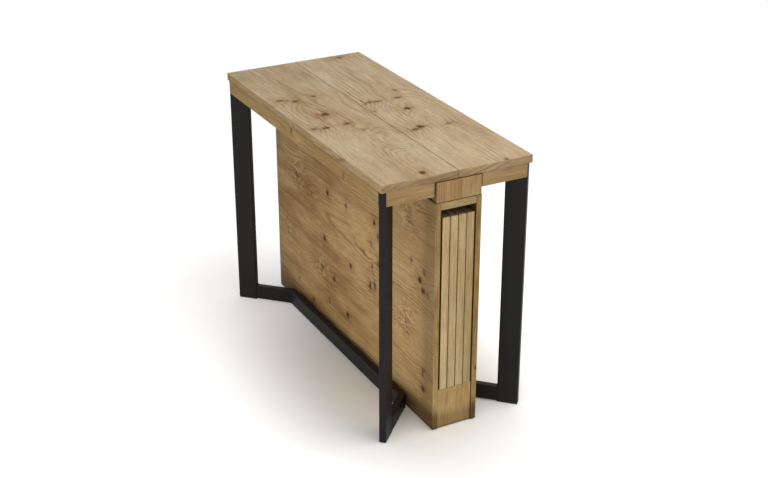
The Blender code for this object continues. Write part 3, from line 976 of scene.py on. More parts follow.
@dataclass(frozen=True)
class BeechDowel(Finish):
    """Turned beech of the alignment pins, with short darker flecks."""

    name: str = "beech_dowel"
    pale: Tone = shade(216, 186, 144)
    fleck: Tone = shade(168, 122, 78)
    stretch: Triple = (260.0, 1400.0, 260.0)
    detail: float = 2.0
    fleck_fade: tuple[float, ...] = (0.50, 0.72, 0.0, 0.7)
    breakup: float = 400.0
    handled: float = 0.4
    roughness: float = 0.5
    fleck_rough: float = 0.2
    relief: Span = (0.2, 0.0002)

    def paint(self, sheet: Surface) -> Feeds:
        """Lays out the flecks and the handled edges.

        Args:
            sheet: The material's sheet.

        Returns:
            What feeds the shader.
        """
        flecks = sheet.noise(sheet.place, self.stretch, self.detail)["Fac"]
        colour = sheet.tint(self.pale, self.fleck, sheet.fade(flecks, *self.fleck_fade))
        edges = sheet.times(sheet.wear_highlight_mask(self.breakup), self.handled)
        return {
            "Base Color": sheet.tint(colour, self.fleck, edges),
            "Roughness": sheet.raised(self.roughness, flecks, self.fleck_rough),
            "Normal": sheet.bump(flecks, *self.relief),
        }


@dataclass(frozen=True)
class ZincPlate(Finish):
    """Zinc-plated screw steel, dulled in patches."""

    name: str = "zinc_plate"
    bright: Tone = shade(186, 186, 184)
    dull: Tone = shade(132, 130, 124)
    coarse: float = 380.0
    roughness: float = 0.30
    mottle_rough: float = 0.2

    def paint(self, sheet: Surface) -> Feeds:
        """Lays out the plate's dull patches.

        Args:
            sheet: The material's sheet.

        Returns:
            What feeds the shader.
        """
        mottle, _ = sheet.mottle(self.coarse)
        return {
            "Base Color": sheet.tint(self.bright, self.dull, mottle),
            "Metallic": 1.0,
            "Roughness": sheet.raised(self.roughness, mottle, self.mottle_rough),
        }


class Wardrobe:
    """The shared effects, and every plain finish of the table, made once."""

    def __init__(self) -> None:
        """Builds the effects and makes the plain finishes."""
        self.effects = Effects()
        self.steel = PowderCoat().material(self.effects)
        self.aluminium = DrawnAluminium().material(self.effects)
        self.plastic = MouldedPlastic().material(self.effects)
        self.beech = BeechDowel().material(self.effects)
        self.zinc = ZincPlate().material(self.effects)


class Bench:
    """The modelling bench: one piece at a time is selected, shaped and settled."""

    @staticmethod
    def clear() -> None:
        """Leaves edit mode and deselects everything."""
        if bpy.context.object and bpy.context.object.mode != "OBJECT":
            bpy.ops.object.mode_set(mode="OBJECT")
        bpy.ops.object.select_all(action="DESELECT")

    @staticmethod
    def take(piece: Piece) -> None:
        """Selects one piece alone and makes it active.

        Args:
            piece: The piece.
        """
        Bench.clear()
        piece.select_set(True)
        bpy.context.view_layer.objects.active = piece

    @staticmethod
    def settle(piece: Piece) -> None:
        """Puts a piece's place, turn and size into its mesh."""
        Bench.take(piece)
        bpy.ops.object.transform_apply(location=True, rotation=True, scale=True)

    @staticmethod
    def block(name: str, low: Vector, high: Vector) -> Piece:
        """Adds a cube at its size and place.

        Args:
            name: The piece's name.
            low: Its lowest corner.
            high: Its highest corner.

        Returns:
            The piece, with its place in its mesh.
        """
        Bench.clear()
        bpy.ops.mesh.primitive_cube_add(size=1.0, location=(low + high) / 2, scale=high - low)
        piece = bpy.context.object
        piece.name = name
        Bench.settle(piece)
        return piece

    @staticmethod
    def rod(name: str, radius: float, start: Vector, end: Vector, sides: int) -> Piece:
        """Adds a cylinder between two points.

        Args:
            name: The piece's name.
            radius: Its radius.
            start: The middle of its first end.
            end: The middle of its second end.
            sides: How many sides it has.

        Returns:
            The piece, with its place in its mesh.
        """
        Bench.clear()
        axis = end - start
        turn = axis.to_track_quat("Z", "Y").to_euler()
        middle = (start + end) / 2
        bpy.ops.mesh.primitive_cylinder_add(
            vertices=sides, radius=radius, depth=axis.length, location=middle, rotation=turn
        )
        piece = bpy.context.object
        piece.name = name
        Bench.settle(piece)
        return piece

    @staticmethod
    def pick(piece: Piece, kind: str, rule: Callable[[object], bool]) -> None:
        """Enters edit mode and selects faces, edges or vertices by a rule.

        Args:
            piece: The piece.
            kind: FACE, EDGE or VERT.
            rule: Says whether an element is selected.
        """
        Bench.take(piece)
        bpy.ops.object.mode_set(mode="EDIT")
        bpy.ops.mesh.select_mode(type=kind)
        bpy.ops.mesh.select_all(action="DESELECT")
        form = bmesh.from_edit_mesh(piece.data)
        elements = {"FACE": form.faces, "EDGE": form.edges, "VERT": form.verts}[kind]
        for element in [element for element in elements if rule(element)]:
            element.select_set(True)
        form.select_flush_mode()
        bmesh.update_edit_mesh(piece.data)

    @staticmethod
    def round_edges(piece: Piece, rule: Callable[[object], bool], width: float, segments: int = 3) -> None:
        """Rounds the edges that a rule picks.

        Args:
            piece: The piece.
            rule: Says whether an edge is rounded.
            width: How wide the rounding is.
            segments: How many steps it has.
        """
        Bench.pick(piece, "EDGE", rule)
        bpy.ops.mesh.bevel(offset=width, segments=segments, profile=0.5, affect="EDGES")
        Bench.clear()

    @staticmethod
    def join(name: str, pieces: list[Piece]) -> Piece:
        """Joins pieces into one.

        Args:
            name: The joined piece's name.
            pieces: The pieces.

        Returns:
            The joined piece.
        """
        Bench.take(pieces[0])
        for piece in pieces:
            piece.select_set(True)
        bpy.ops.object.join()
        pieces[0].name = name
        return pieces[0]

    @staticmethod
    def cut(piece: Piece, cutter: Piece) -> None:
        """Cuts one piece out of another and removes the cutter.

        Args:
            piece: The piece that is cut.
            cutter: What is cut out of it.
        """
        bite = piece.modifiers.new("cut", "BOOLEAN")
        bite.operation = "DIFFERENCE"
        bite.solver = "EXACT"
        bite.object = cutter
        Bench.take(piece)
        bpy.ops.object.modifier_apply(modifier=bite.name)
        bpy.data.objects.remove(cutter)

    @staticmethod
    def copies(name: str, master: Piece, places: Iterable[Matrix]) -> Piece:
        """Copies a piece to several places, each with its own mesh, joins the copies and removes it.

        Args:
            name: The joined piece's name.
            master: The piece that is copied.
            places: Where each copy goes.

        Returns:
            The joined copies.
        """
        made = []
        for place in places:
            Bench.take(master)
            bpy.ops.object.duplicate(linked=False)
            twin = bpy.context.object
            twin.matrix_world = place
            Bench.settle(twin)
            made.append(twin)
        joined = Bench.join(name, made)
        bpy.data.objects.remove(master)
        return joined

    @staticmethod
    def hand_over(piece: Piece, body: str, material: Material, slot: str | None) -> None:
        """Smooths a finished piece, dresses it and sets it on its body.

        Args:
            piece: The piece.
            body: The CAD body it rides on.
            material: Its finish.
            slot: Not used.
        """
        Bench.take(piece)
        bpy.ops.object.shade_smooth_by_angle(angle=SMOOTH_ANGLE)
        piece.data.materials.clear()
        piece.data.materials.append(material)
        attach(piece, body)
        log.info("piece %s on %s: %d faces", piece.name, body, len(piece.data.polygons))


@dataclass
class Fittings:
    """The small parts that are modelled once and copied: pins, screws and plugs."""

    wardrobe: Wardrobe
    pin_radius: float = 0.0040
    pin_length: float = 0.0130
    pin_seat: float = 0.0010
    pin_sides: int = 24
    pin_flute: float = 0.93
    pin_tip: tuple[Span, ...] = ((0.0010, 0.0008), (0.0012, 0.0004))
    pin_rows: Triple = (-0.36, 0.0, 0.36)
    socket_radius: float = 0.0044
    socket_depth: float = 0.0140
    socket_mouth: float = 0.002
    screw_radius: float = 0.0052
    screw_height: float = 0.0028
    screw_round: float = 0.0016
    screw_sides: int = 32
    key_radius: float = 0.0024
    key_top: float = 0.55
    key_sides: int = 6
    plug_width: float = 0.0094
    plug_height: float = 0.0098
    plug_thickness: float = 0.0012
    plug_round: float = 0.0006
    plug_rim: float = 0.0016
    plug_dish: float = 0.0004

    def make_pin(self) -> Piece:
        """A fluted pin with a rounded tip, standing on its seat at the origin along +Z.

        Returns:
            The pin.
        """
        foot = Vector((0, 0, -self.pin_seat))
        top = Vector((0, 0, self.pin_length - self.pin_seat))
        pin = Bench.rod("pin", self.pin_radius, foot, top, self.pin_sides)
        step = 2 * math.pi / self.pin_sides

        def in_flute(vertex: bmesh.types.BMVert) -> bool:
            """Says whether a vertex lies on every second edge of the rod."""
            turn = math.atan2(vertex.co.y, vertex.co.x) / step
            return round(turn) % 2 == 0

        Bench.pick(pin, "VERT", in_flute)
        bpy.ops.transform.resize(value=(self.pin_flute, self.pin_flute, 1.0))
        Bench.pick(pin, "FACE", lambda face: face.normal.z > SQUARE_ON)
        for inset, rise in self.pin_tip:
            bpy.ops.mesh.inset(thickness=inset)
            bpy.ops.transform.translate(value=(0, 0, rise))
        Bench.clear()
        return pin

    def make_screw(self) -> Piece:
        """A button head with a hexagon socket, hanging below the origin.

        Returns:
            The screw head.
        """
        low = -self.screw_height
        foot = Vector((0, 0, low))
        screw = Bench.rod("screw", self.screw_radius, Vector(ORIGIN), foot, self.screw_sides)
        Bench.round_edges(screw, lambda edge: all(v.co.z < low / 2 for v in edge.verts), self.screw_round, 4)
        key = Bench.rod("key", self.key_radius, self.key_top * foot, 2 * foot, self.key_sides)
        Bench.cut(screw, key)
        return screw

    def make_plug(self) -> Piece:
        """A chamber plug for the end of a slide member, with its face towards +X.

        Returns:
            The plug.
        """
        half = Vector((0, self.plug_width / 2, self.plug_height / 2))
        plug = Bench.block("plug", -half, half + Vector((self.plug_thickness, 0, 0)))
        middle = self.plug_thickness / 2
        Bench.round_edges(plug, lambda edge: max(v.co.x for v in edge.verts) > middle, self.plug_round, 2)
        Bench.pick(plug, "FACE", lambda face: face.normal.x > SQUARE_ON)
        bpy.ops.mesh.inset(thickness=self.plug_rim)
        bpy.ops.transform.translate(value=(-self.plug_dish, 0, 0))
        Bench.clear()
        return plug

    def drill(self, board: Piece, mouths: Iterable[Vector], inward: Vector) -> None:
        """Drills pin sockets into a board's edge.

        Args:
            board: The board.
            mouths: The middle of each socket's mouth.
            inward: The way that the sockets go.
        """
        drills = []
        for number, mouth in enumerate(mouths):
            start = mouth - inward * self.socket_mouth
            end = mouth + inward * self.socket_depth
            drills.append(Bench.rod(f"drill_{number}", self.socket_radius, start, end, self.pin_sides))
        Bench.cut(board, Bench.join("drills", drills))

    def fit(self, kind: Fitting, name: str, body: str, places: Iterable[Matrix]) -> None:
        """Models a fitting, copies it to its places and sets the copies on their body.

        Args:
            kind: Which fitting it is.
            name: The joined copies' name.
            body: The body they ride on.
            places: Where each copy goes.
        """
        makers = {Fitting.PIN: self.make_pin, Fitting.SCREW: self.make_screw, Fitting.PLUG: self.make_plug}
        finish, slot = kind.value
        copies = Bench.copies(name, makers[kind](), places)
        Bench.hand_over(copies, body, getattr(self.wardrobe, finish), slot)


def at(seats: Iterable[Vector], turn: Matrix = UNTURNED) -> list[Matrix]:
    """Gives the places of copies that stand on their seats, all turned alike."""
    return [Matrix.Translation(seat) @ turn for seat in seats]


@dataclass
class Assembly:
    """What every sub-assembly works with: the finishes, the fittings and the CAD nodes by name."""

    wardrobe: Wardrobe
    fittings: Fittings
    nodes: dict[str, Piece]

    def veneer(self, name: str, grain: Grain, **values: object) -> Material:
        """Makes one oak veneer from what differs from the usual one."""
        return OakVeneer(name, grain, **values).material(self.wardrobe.effects)

    def dress(self, names: Iterable[str], finish: Material) -> None:
        """Gives CAD nodes their finish.

        Args:
            names: The nodes' names.
            finish: The finish.
        """
        for name in names:
            slots = self.nodes[name].data.materials
            slots.clear()
            slots.append(finish)
            log.info("node %s: %s", name, finish.name)


@dataclass
class TopHalf(Assembly):
    """One half of the table top with its aprons and its joining edge."""

    side: Side
    edge_round: float = 0.0014

    LEFT_KNOTS = (
        Knot(0.192, -0.188, 0.0100, 0.0140, 0.010, 0.75),
        Knot(0.184, -0.165, 0.0110, 0.0080, 0.008, 0.55),
        Knot(0.168, -0.152, 0.0100, 0.0120, 0.010, 0.8),
        Knot(0.184, -0.084, 0.0090, 0.0085, 0.010, 0.85),
        Knot(0.030, -0.122, 0.0135, 0.0120, 0.016),
        Knot(-0.064, -0.101, 0.0110, 0.0150, 0.018, 0.8),
        Knot(-0.062, -0.200, 0.0085, 0.0120, 0.008, 0.7),
        Knot(-0.069, -0.167, 0.0100, 0.0150, 0.010, 0.8),
        Knot(-0.126, -0.081, 0.0100, 0.0100, 0.014, 0.5),
        Knot(-0.249, -0.050, 0.0100, 0.0140, 0.034, 0.0),
        Knot(-0.472, -0.091, 0.0120, 0.0110, 0.016),
    )
    RIGHT_KNOTS = (
        Knot(0.474, 0.141, 0.0110, 0.0180, 0.010, 0.7),
        Knot(0.120, 0.150, 0.0100, 0.0080, 0.014, 0.6),
        Knot(0.059, 0.124, 0.0090, 0.0150, 0.014, 0.8),
        Knot(0.061, 0.033, 0.0085, 0.0150, 0.008, 0.7),
        Knot(0.058, 0.056, 0.0090, 0.0180, 0.010, 0.7),
        Knot(-0.012, 0.012, 0.0090, 0.0100, 0.010, 0.35),
        Knot(-0.034, 0.107, 0.0120, 0.0120, 0.016),
        Knot(-0.193, 0.044, 0.0110, 0.0160, 0.014, 0.75),
        Knot(-0.181, 0.068, 0.0130, 0.0160, 0.018, 0.9),
        Knot(-0.194, 0.147, 0.0100, 0.0110, 0.018, 0.5),
        Knot(-0.494, 0.147, 0.0080, 0.0060, 0.006, 0.8),
    )
    APRON_KNOTS = (Knot(0.036, 0.727, 0.0050, 0.008, 0.006), Knot(-0.290, 0.712, 0.0040, 0.006, 0.005, 0.7))

    # What the two slabs share, and what each has from its own place in the log
    SLABS = {
        "band": (1.0, 0.93, 0.80, 1.0),
        "ring": 0.0088,
        "figure": 0.72,
        "contrast": 0.95,
        # The slabs' pale edges are strong here: a painted highlight along the arris, over the wear
        "wear_highlight_share": 0.50,
        "calm": 0.40,
        "glue_lines": (DarkStrip("X", 0.0, reach=0.0020, strength=0.25),),
    }
    LOGS = {
        Side.LEFT: {
            "pale": shade(193, 173, 143),
            "deep": shade(165, 142, 107),
            "drift": (0.05, 0.42, 0.0, 0.25),
            "heart": -0.062,
            "depth": -0.742,
            "rise": 0.085,
            "arch": (-0.46, 0.02),
            "lively": (-0.06, 0.16, 0.40),
            "knots": LEFT_KNOTS,
        },
        Side.RIGHT: {
            "pale": shade(198, 179, 148),
            "deep": shade(172, 149, 115),
            "drift": (0.05, 0.42, 0.0, 0.0),
            "heart": 0.128,
            "depth": -0.748,
            "rise": 0.080,
            "arch": (-0.22, 0.26),
            "lively": (0.0, 0.18, 0.42),
            "knots": RIGHT_KNOTS,
        },
    }

    def joints(self) -> list[Vector]:
        """Gives the middle of each pin on the joining edge.

        Returns:
            The places.
        """
        low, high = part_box(f"{self.side.word}_top")
        edge = high.x if self.side is Side.LEFT else low.x
        return [Vector((edge, spot, (low.z + high.z) / 2)) for spot in self.fittings.pin_rows]

    def build_slab(self) -> None:
        """Models the slab with rounded edges, and drills it where it takes the pins."""
        node = f"{self.side.word}_top"
        slab = Bench.block(f"{self.side.word}_slab", *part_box(node))
        Bench.round_edges(slab, lambda edge: True, self.edge_round)
        if self.side is Side.LEFT:
            self.fittings.drill(slab, self.joints(), Vector((-1, 0, 0)))
        finish = self.veneer(f"oak_{node}", Grain.TOP, **self.SLABS, **self.LOGS[self.side])
        Bench.hand_over(slab, self.side.body, finish, "oak")
        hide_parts(node)

    def build_pins(self) -> None:
        """Stands the pins on the joining edge of the half that carries them."""
        turn = Matrix.Rotation(math.radians(-90), 4, "Y")
        self.fittings.fit(Fitting.PIN, "right_slab_pins", self.side.body, at(self.joints(), turn))

    def dress_aprons(self) -> None:
        """Gives the side apron and the end aprons their veneer."""
        word = self.side.word
        low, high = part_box(f"{word}_side_apron")
        side_finish = self.veneer(
            f"oak_{word}_side_apron",
            Grain.PANEL,
            pale=shade(185, 153, 100),
            deep=shade(164, 130, 79),
            heart=(low.z + high.z) / 2 + 0.05,
            depth=-low.x + 0.03,
            rise=0.03,
            pin_share=0.10,
            knots=self.APRON_KNOTS,
        )
        self.dress([f"{word}_side_apron"], side_finish)
        end_finish = self.veneer(
            f"oak_{word}_end_aprons",
            Grain.CROSS,
            pale=shade(188, 157, 110),
            deep=shade(168, 135, 90),
            heart=0.76,
            depth=0.56,
            rise=0.02,
        )
        self.dress([f"{word}_{end.word}_apron" for end in End], end_finish)

    def build(self) -> None:
        """Builds and dresses the half top."""
        self.build_slab()
        if self.side is Side.RIGHT:
            self.build_pins()
        self.dress_aprons()


@dataclass
class LegFrame(Assembly):
    """The legs and the floor rail of one half, in black steel."""

    side: Side
    tube: float = 0.0200
    rail_height: float = 0.0450
    rail_bottom: float = 0.0033
    leg_joint: Span = (0.17529, 0.45029)
    leg_turn: float = 45.0
    bend: Span = (0.0890, 0.3640)
    bend_turn: float = 22.5
    seam_radius: float = 0.0007
    seam_round: float = 0.0016
    plate_hole: float = 0.0780
    plate_spread: float = 0.0314
    plate_bottom: float = 0.7337

    def dress_tubes(self) -> None:
        """Gives the tubes and the glides their finishes."""
        word = self.side.word
        corners = [f"{word}_{end.word}" for end in End]
        tubes = [f"{corner}_{part}" for corner in corners for part in ("leg", "diagonal_rail")]
        self.dress([*tubes, f"{word}_straight_rail"], self.wardrobe.steel)
        self.dress([f"{corner}_leg_glide" for corner in corners], self.wardrobe.plastic)

    def make_seam(self, place: Matrix, width: float) -> Piece:
        """Runs a weld seam round a rail where it meets its neighbour.

        Args:
            place: The middle of the joint, with X across the rail and Y up.
            width: How wide the rail is in the joint's plane.

        Returns:
            The seam.
        """
        Bench.clear()
        bpy.ops.mesh.primitive_plane_add(size=1.0)
        seam = bpy.context.object
        Bench.pick(seam, "FACE", lambda face: True)
        bpy.ops.transform.resize(value=(width, self.rail_height, 1.0))
        bpy.ops.mesh.delete(type="ONLY_FACE")
        bpy.ops.mesh.select_mode(type="VERT")
        bpy.ops.mesh.select_all(action="SELECT")
        bpy.ops.mesh.bevel(offset=self.seam_round, segments=3, affect="VERTICES")
        bpy.ops.object.mode_set(mode="OBJECT")
        bpy.ops.object.convert(target="CURVE")
        seam.data.dimensions = "3D"
        seam.data.bevel_depth = self.seam_radius
        seam.data.bevel_resolution = 2
        bpy.ops.object.convert(target="MESH")
        seam.matrix_world = place
        Bench.settle(seam)
        return seam

    def build_seams(self) -> None:
        """Welds the diagonals to the legs and to the straight rail."""
        height = self.rail_bottom + self.rail_height / 2
        upright = Matrix.Rotation(math.radians(90), 4, "X")
        mitre = self.tube / math.cos(math.radians(self.bend_turn))
        joints = ((self.leg_joint, self.leg_turn, self.tube), (self.bend, self.bend_turn, mitre))
        seams = []
        for end in End:
            for (x, y), turn, width in joints:
                middle = Matrix.Translation((x * self.side.value, y * end.value, height))
                about = math.radians(-turn * self.side.value * end.value)
                place = middle @ Matrix.Rotation(about, 4, "Z") @ upright
                seams.append(self.make_seam(place, width))
        joined = Bench.join(f"{self.side.word}_weld_seams", seams)
        Bench.hand_over(joined, self.side.body, self.wardrobe.steel, "black_steel")

    def build_plate_screws(self) -> None:
        """Screws the legs' head plates to the slab."""
        seats = []
        low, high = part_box(f"{self.side.word}_top")
        outer = low.x if self.side is Side.LEFT else high.x
        for end in End:
            corner = Vector((outer, high.y * end.value, self.plate_bottom))
            inward = Vector((-self.side.value, -end.value, 0)).normalized()
            across = Vector((-inward.y, inward.x, 0))
            for spread in (-self.plate_spread, self.plate_spread):
                seats.append(corner + inward * self.plate_hole + across * spread)
        self.fittings.fit(Fitting.SCREW, f"{self.side.word}_plate_screws", self.side.body, at(seats))

    def build(self) -> None:
        """Dresses the tubes and adds seams and screws."""
        self.dress_tubes()
        self.build_seams()
        self.build_plate_screws()


@dataclass
class LeafStore(Assembly):
    """The fixed store in the middle: panels, plinths, boards and fascias."""

    pale: Tone = shade(204, 172, 123)
    deep: Tone = shade(172, 137, 91)
    panel_pale: Tone = shade(218, 180, 123)
    panel_deep: Tone = shade(153, 115, 67)
    plinth_pale: Tone = shade(219, 186, 129)
    plinth_deep: Tone = shade(187, 150, 96)
    fascia_bottom: float = 0.6810
    panel_top: float = 0.7370
    inner_face: float = 0.0530
    rear_face: float = 0.5040
    foot: float = 0.0023
    screw_inset: float = 0.6
    screw_rows: tuple[float, ...] = (-0.44, -0.20, 0.20, 0.44)
    screw_proud: float = 0.0012

    LEFT_KNOTS = (
        Knot(-0.362, 0.590, 0.0150, 0.0150, 0.050, 0.40, 0.95),
        Knot(-0.357, 0.271, 0.0140, 0.0150, 0.044, 0.42, 1.0),
        Knot(-0.365, 0.237, 0.0120, 0.0100, 0.030, 0.35),
        Knot(-0.449, 0.460, strength=0.6),
        Knot(-0.426, 0.430),
        Knot(-0.445, 0.406),
        Knot(-0.448, 0.156, 0.0060, 0.0130, 0.008, 0.6),
        Knot(-0.450, 0.105, strength=0.8),
        Knot(0.135, 0.470),
        Knot(0.165, 0.477, 0.0060, 0.0060, 0.006, 0.5),
        Knot(0.013, 0.475, 0.0070, 0.0100, 0.010, 0.7),
        Knot(-0.165, 0.491, 0.0090, 0.0090, 0.014),
        Knot(-0.187, 0.458, strength=0.7),
        Knot(-0.144, 0.420, 0.0100, 0.0100, 0.006, 0.5, 0.55),
        Knot(-0.100, 0.379, 0.0060, 0.0060, 0.006, 0.5),
        Knot(-0.190, 0.376, strength=0.6),
        Knot(0.160, 0.312),
        Knot(-0.015, 0.293, 0.0080, 0.0100, 0.012),
        Knot(0.180, 0.205, 0.0150, 0.0120, 0.030, 0.55, 0.65),
        Knot(0.097, 0.200, strength=0.8),
        Knot(0.133, 0.111, strength=0.5),
        Knot(0.009, 0.118),
        Knot(-0.139, 0.285, 0.0070, 0.0120, 0.010),
        Knot(-0.166, 0.295, 0.0090, 0.0150, 0.010, 0.8, 0.50),
        Knot(0.354, 0.451, 0.0150, 0.0150, 0.034, 0.50, 0.55),
        Knot(0.248, 0.421, 0.0060, 0.0060, 0.006, 0.6),
        Knot(0.428, 0.232, 0.0100, 0.0200, 0.008, 0.3, 0.40),
        Knot(0.354, 0.089, 0.0060, 0.0060, 0.010, 0.5),
        Knot(0.247, 0.061, 0.0070, 0.0070, 0.008),
    )

    def cover(self, names: Iterable[str], finish: str, grain: Grain, **values: object) -> None:
        """Makes the veneer of one kind of board, in the store's tones unless given, and lays it."""
        tones = {"pale": self.pale, "deep": self.deep}
        self.dress(names, self.veneer(finish, grain, **{**tones, **values}))

    def dress_panels(self, foot_shade: Iterable[DarkStrip], under_fascia: DarkStrip) -> None:
        """Gives the two side panels their knotty veneer, with painted shade under the top, along the front
        edge and along the foot, and a painted shadow of the front leg at the front foot.

        Args:
            foot_shade: The painted shade along the foot of all low boards.
            under_fascia: The joint below the fascias.
        """
        # Painted shade: darker towards the top under the top boards, and along the front edge; the strip at
        # the front foot is a painted shadow of the front leg
        shade_under_top = DarkStrip("Z", self.panel_top, reach=0.34, strength=0.21)
        shaded = DarkStrip("Y", -self.rear_face, reach=0.085, strength=0.36, faces_only=True)
        rear_joint = DarkStrip("Y", self.rear_face, reach=0.0045, strength=0.70)
        scuffs_and_shade = DarkStrip("Z", 0.0, reach=0.090, strength=0.64, fades=("Y", -0.36, -0.20))
        broad = {
            "pale": self.panel_pale,
            "deep": self.panel_deep,
            "band": (0.93, 0.99, 0.92, 1.0),
            "figure": 0.74,
            "contrast": 0.98,
            "rise": 0.06,
            "ring": 0.0095,
            "wear_highlight_share": 0.40,
            # Paler towards the front: partly the panel's own tone, partly painted light falling from the
            # front
            "drift": (-0.45, 0.30, -0.62, 0.16),
            "glue_lines": (shade_under_top, under_fascia, shaded, rear_joint, *foot_shade, scuffs_and_shade),
        }
        left = {"heart": 0.40, "depth": 0.10, "pin_share": 0.10, "knots": self.LEFT_KNOTS, "inward": 1}
        right = {"heart": 0.30, "depth": -0.04, "pin_share": 0.45, "inward": -1}
        for side, own in ((Side.LEFT, left), (Side.RIGHT, right)):
            self.cover([f"store_{side.word}_panel"], f"oak_{side.word}_panel", Grain.PANEL, **own, **broad)

    def dress_boards(self) -> None:
        """Gives every board its veneer."""
        under_fascia = DarkStrip("Z", self.fascia_bottom)
        # Painted shade: the low boards darken towards the floor, with a thin dark strip at the foot for the
        # contact shadow
        low_shade = DarkStrip("Z", 0.0, reach=0.065, strength=0.40)
        foot_shade = (low_shade, DarkStrip("Z", self.foot, reach=0.0045, strength=0.60))
        self.dress_panels(foot_shade, under_fascia)
        # Each board's face that looks into the store, picked by inward, is darkened as painted shade
        level = {"heart": 0.02, "depth": -0.60, "rise": 0.03, "band": (0.90, 0.99, 0.98, 1.0)}
        lintel = {**level, "band": (0.98, 1.08, 1.09, 1.0), "glue_lines": (under_fascia,), "inward": -1}
        self.cover(["store_top_board"], "oak_lid", Grain.TOP, **lintel)
        self.cover(["store_floor_board"], "oak_store_floor", Grain.TOP, inward=1, **level)
        self.cover(["slide_base_board"], "oak_base_board", Grain.TOP, **level)
        upright = {"heart": 0.25, "depth": 0.62, "rise": 0.03}
        # Painted shade: the fascias' narrow edges are darkened for the shade in the recess under the aprons
        shaded_edges = {"band": (0.45, 0.38, 0.30, 1.0), "glue_lines": (under_fascia,)}
        fascias = [f"{end.word}_fascia" for end in End]
        self.cover(fascias, "oak_fascias", Grain.UPRIGHT, **upright, **shaded_edges)
        low = {"pale": self.plinth_pale, "deep": self.plinth_deep}
        lines = (DarkStrip("X", self.inner_face), *foot_shade)
        plinths = [f"store_{end.word}_plinth" for end in End]
        self.cover(plinths, "oak_plinths", Grain.UPRIGHT, glue_lines=lines, **low, **upright)
        back = {"heart": 0.015, "depth": -0.44, "rise": 0.05, "pin_share": 0.4, "inward": -1}
        self.cover(["store_back_panel"], "oak_back_panel", Grain.UPRIGHT, **back)

    def dress_glides(self) -> None:
        """Gives the glides under the panels their plastic."""
        names = [f"store_{side.word}_{end.word}_glide" for side in Side for end in End]
        self.dress(names, self.wardrobe.plastic)

    def build_board_screws(self) -> None:
        """Screws the base board of the slides down to the store."""
        low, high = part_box("slide_base_board")
        height = high.z - self.fittings.screw_height + self.screw_proud
        columns = (self.screw_inset * low.x, self.screw_inset * high.x)
        seats = [Vector((x, y, height)) for x in columns for y in self.screw_rows]
        turn = Matrix.Rotation(math.radians(180), 4, "X")
        self.fittings.fit(Fitting.SCREW, "base_board_screws", "store", at(seats, turn))

    def build(self) -> None:
        """Dresses the store and adds its screws."""
        self.dress_boards()
        self.dress_glides()
        self.build_board_screws()


@dataclass
class StoredLeaves(Assembly):
    """The four leaves that stand in the store, with pins above and sockets below."""

    edge_round: float = 0.0012
    end_tones: tuple[float, ...] = (0.91, 0.84, 0.81, 0.76)
    end_band: Triple = (1.67, 1.65, 1.42)
    # The leaf whose face ends are darkened as painted shade of the side gap
    shaded_end_leaf: int = 1

    def finish(self, number: int) -> Material:
        """Makes one leaf's veneer, like the top's, with pale banded ends, and with dark joining edges and
        dark face margins that are painted shade of the slot and the gaps.

        Args:
            number: The leaf's number.

        Returns:
            The material.
        """
        tone = self.end_tones[number - 1]
        low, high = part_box(f"leaf_{number}")
        # Painted shade: dark margins along the upper and lower edges of the faces for the shade in the slot,
        # and on the first leaf also along both ends for the shade in the side gap
        lines = [DarkStrip("Z", z, reach=0.0065, strength=0.60, faces_only=True) for z in (low.z, high.z)]
        if number == self.shaded_end_leaf:
            slot_gap_shade = [DarkStrip("Y", y, reach=0.0115, strength=0.88, faces_only=True) for y in (low.y, high.y)]
            lines = [*slot_gap_shade, *lines]
        return self.veneer(
            f"oak_leaf_{number}",
            Grain.PANEL,
            pale=shade(192, 171, 138),
            deep=shade(164, 140, 103),
            band=(*(tone * part for part in self.end_band), 1.0),
            # Painted shade: the joining edges are darkened for the shade in the finger slot
            joining=(0.48, 0.40, 0.41, 1.0),
            heart=0.30 + 0.06 * number,
            depth=0.05 + 0.03 * number,
            rise=0.07,
            ring=0.0088,
            figure=0.66,
            contrast=0.80,
            pin_share=0.22,
            glue_lines=tuple(lines),
        )

    def build_leaf(self, number: int) -> None:
        """Models one leaf, drilled along its lower edge and pinned along its upper one.

        Args:
            number: The leaf's number.
        """
        node = f"leaf_{number}"
        body = f"stored_leaf_{number}"
        low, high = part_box(node)
        leaf = Bench.block(f"{node}_board", low, high)
        Bench.round_edges(leaf, lambda edge: True, self.edge_round)
        middle = (low.x + high.x) / 2
        mouths = [Vector((middle, y, low.z)) for y in self.fittings.pin_rows]
        self.fittings.drill(leaf, mouths, Vector((0, 0, 1)))
        seats = [Vector((middle, y, high.z)) for y in self.fittings.pin_rows]
        self.fittings.fit(Fitting.PIN, f"{node}_pins", body, at(seats))
        Bench.hand_over(leaf, body, self.finish(number), "oak")
        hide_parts(node)

    def build(self) -> None:
        """Builds every leaf."""
        for number in range(1, len(self.end_tones) + 1):
            self.build_leaf(number)


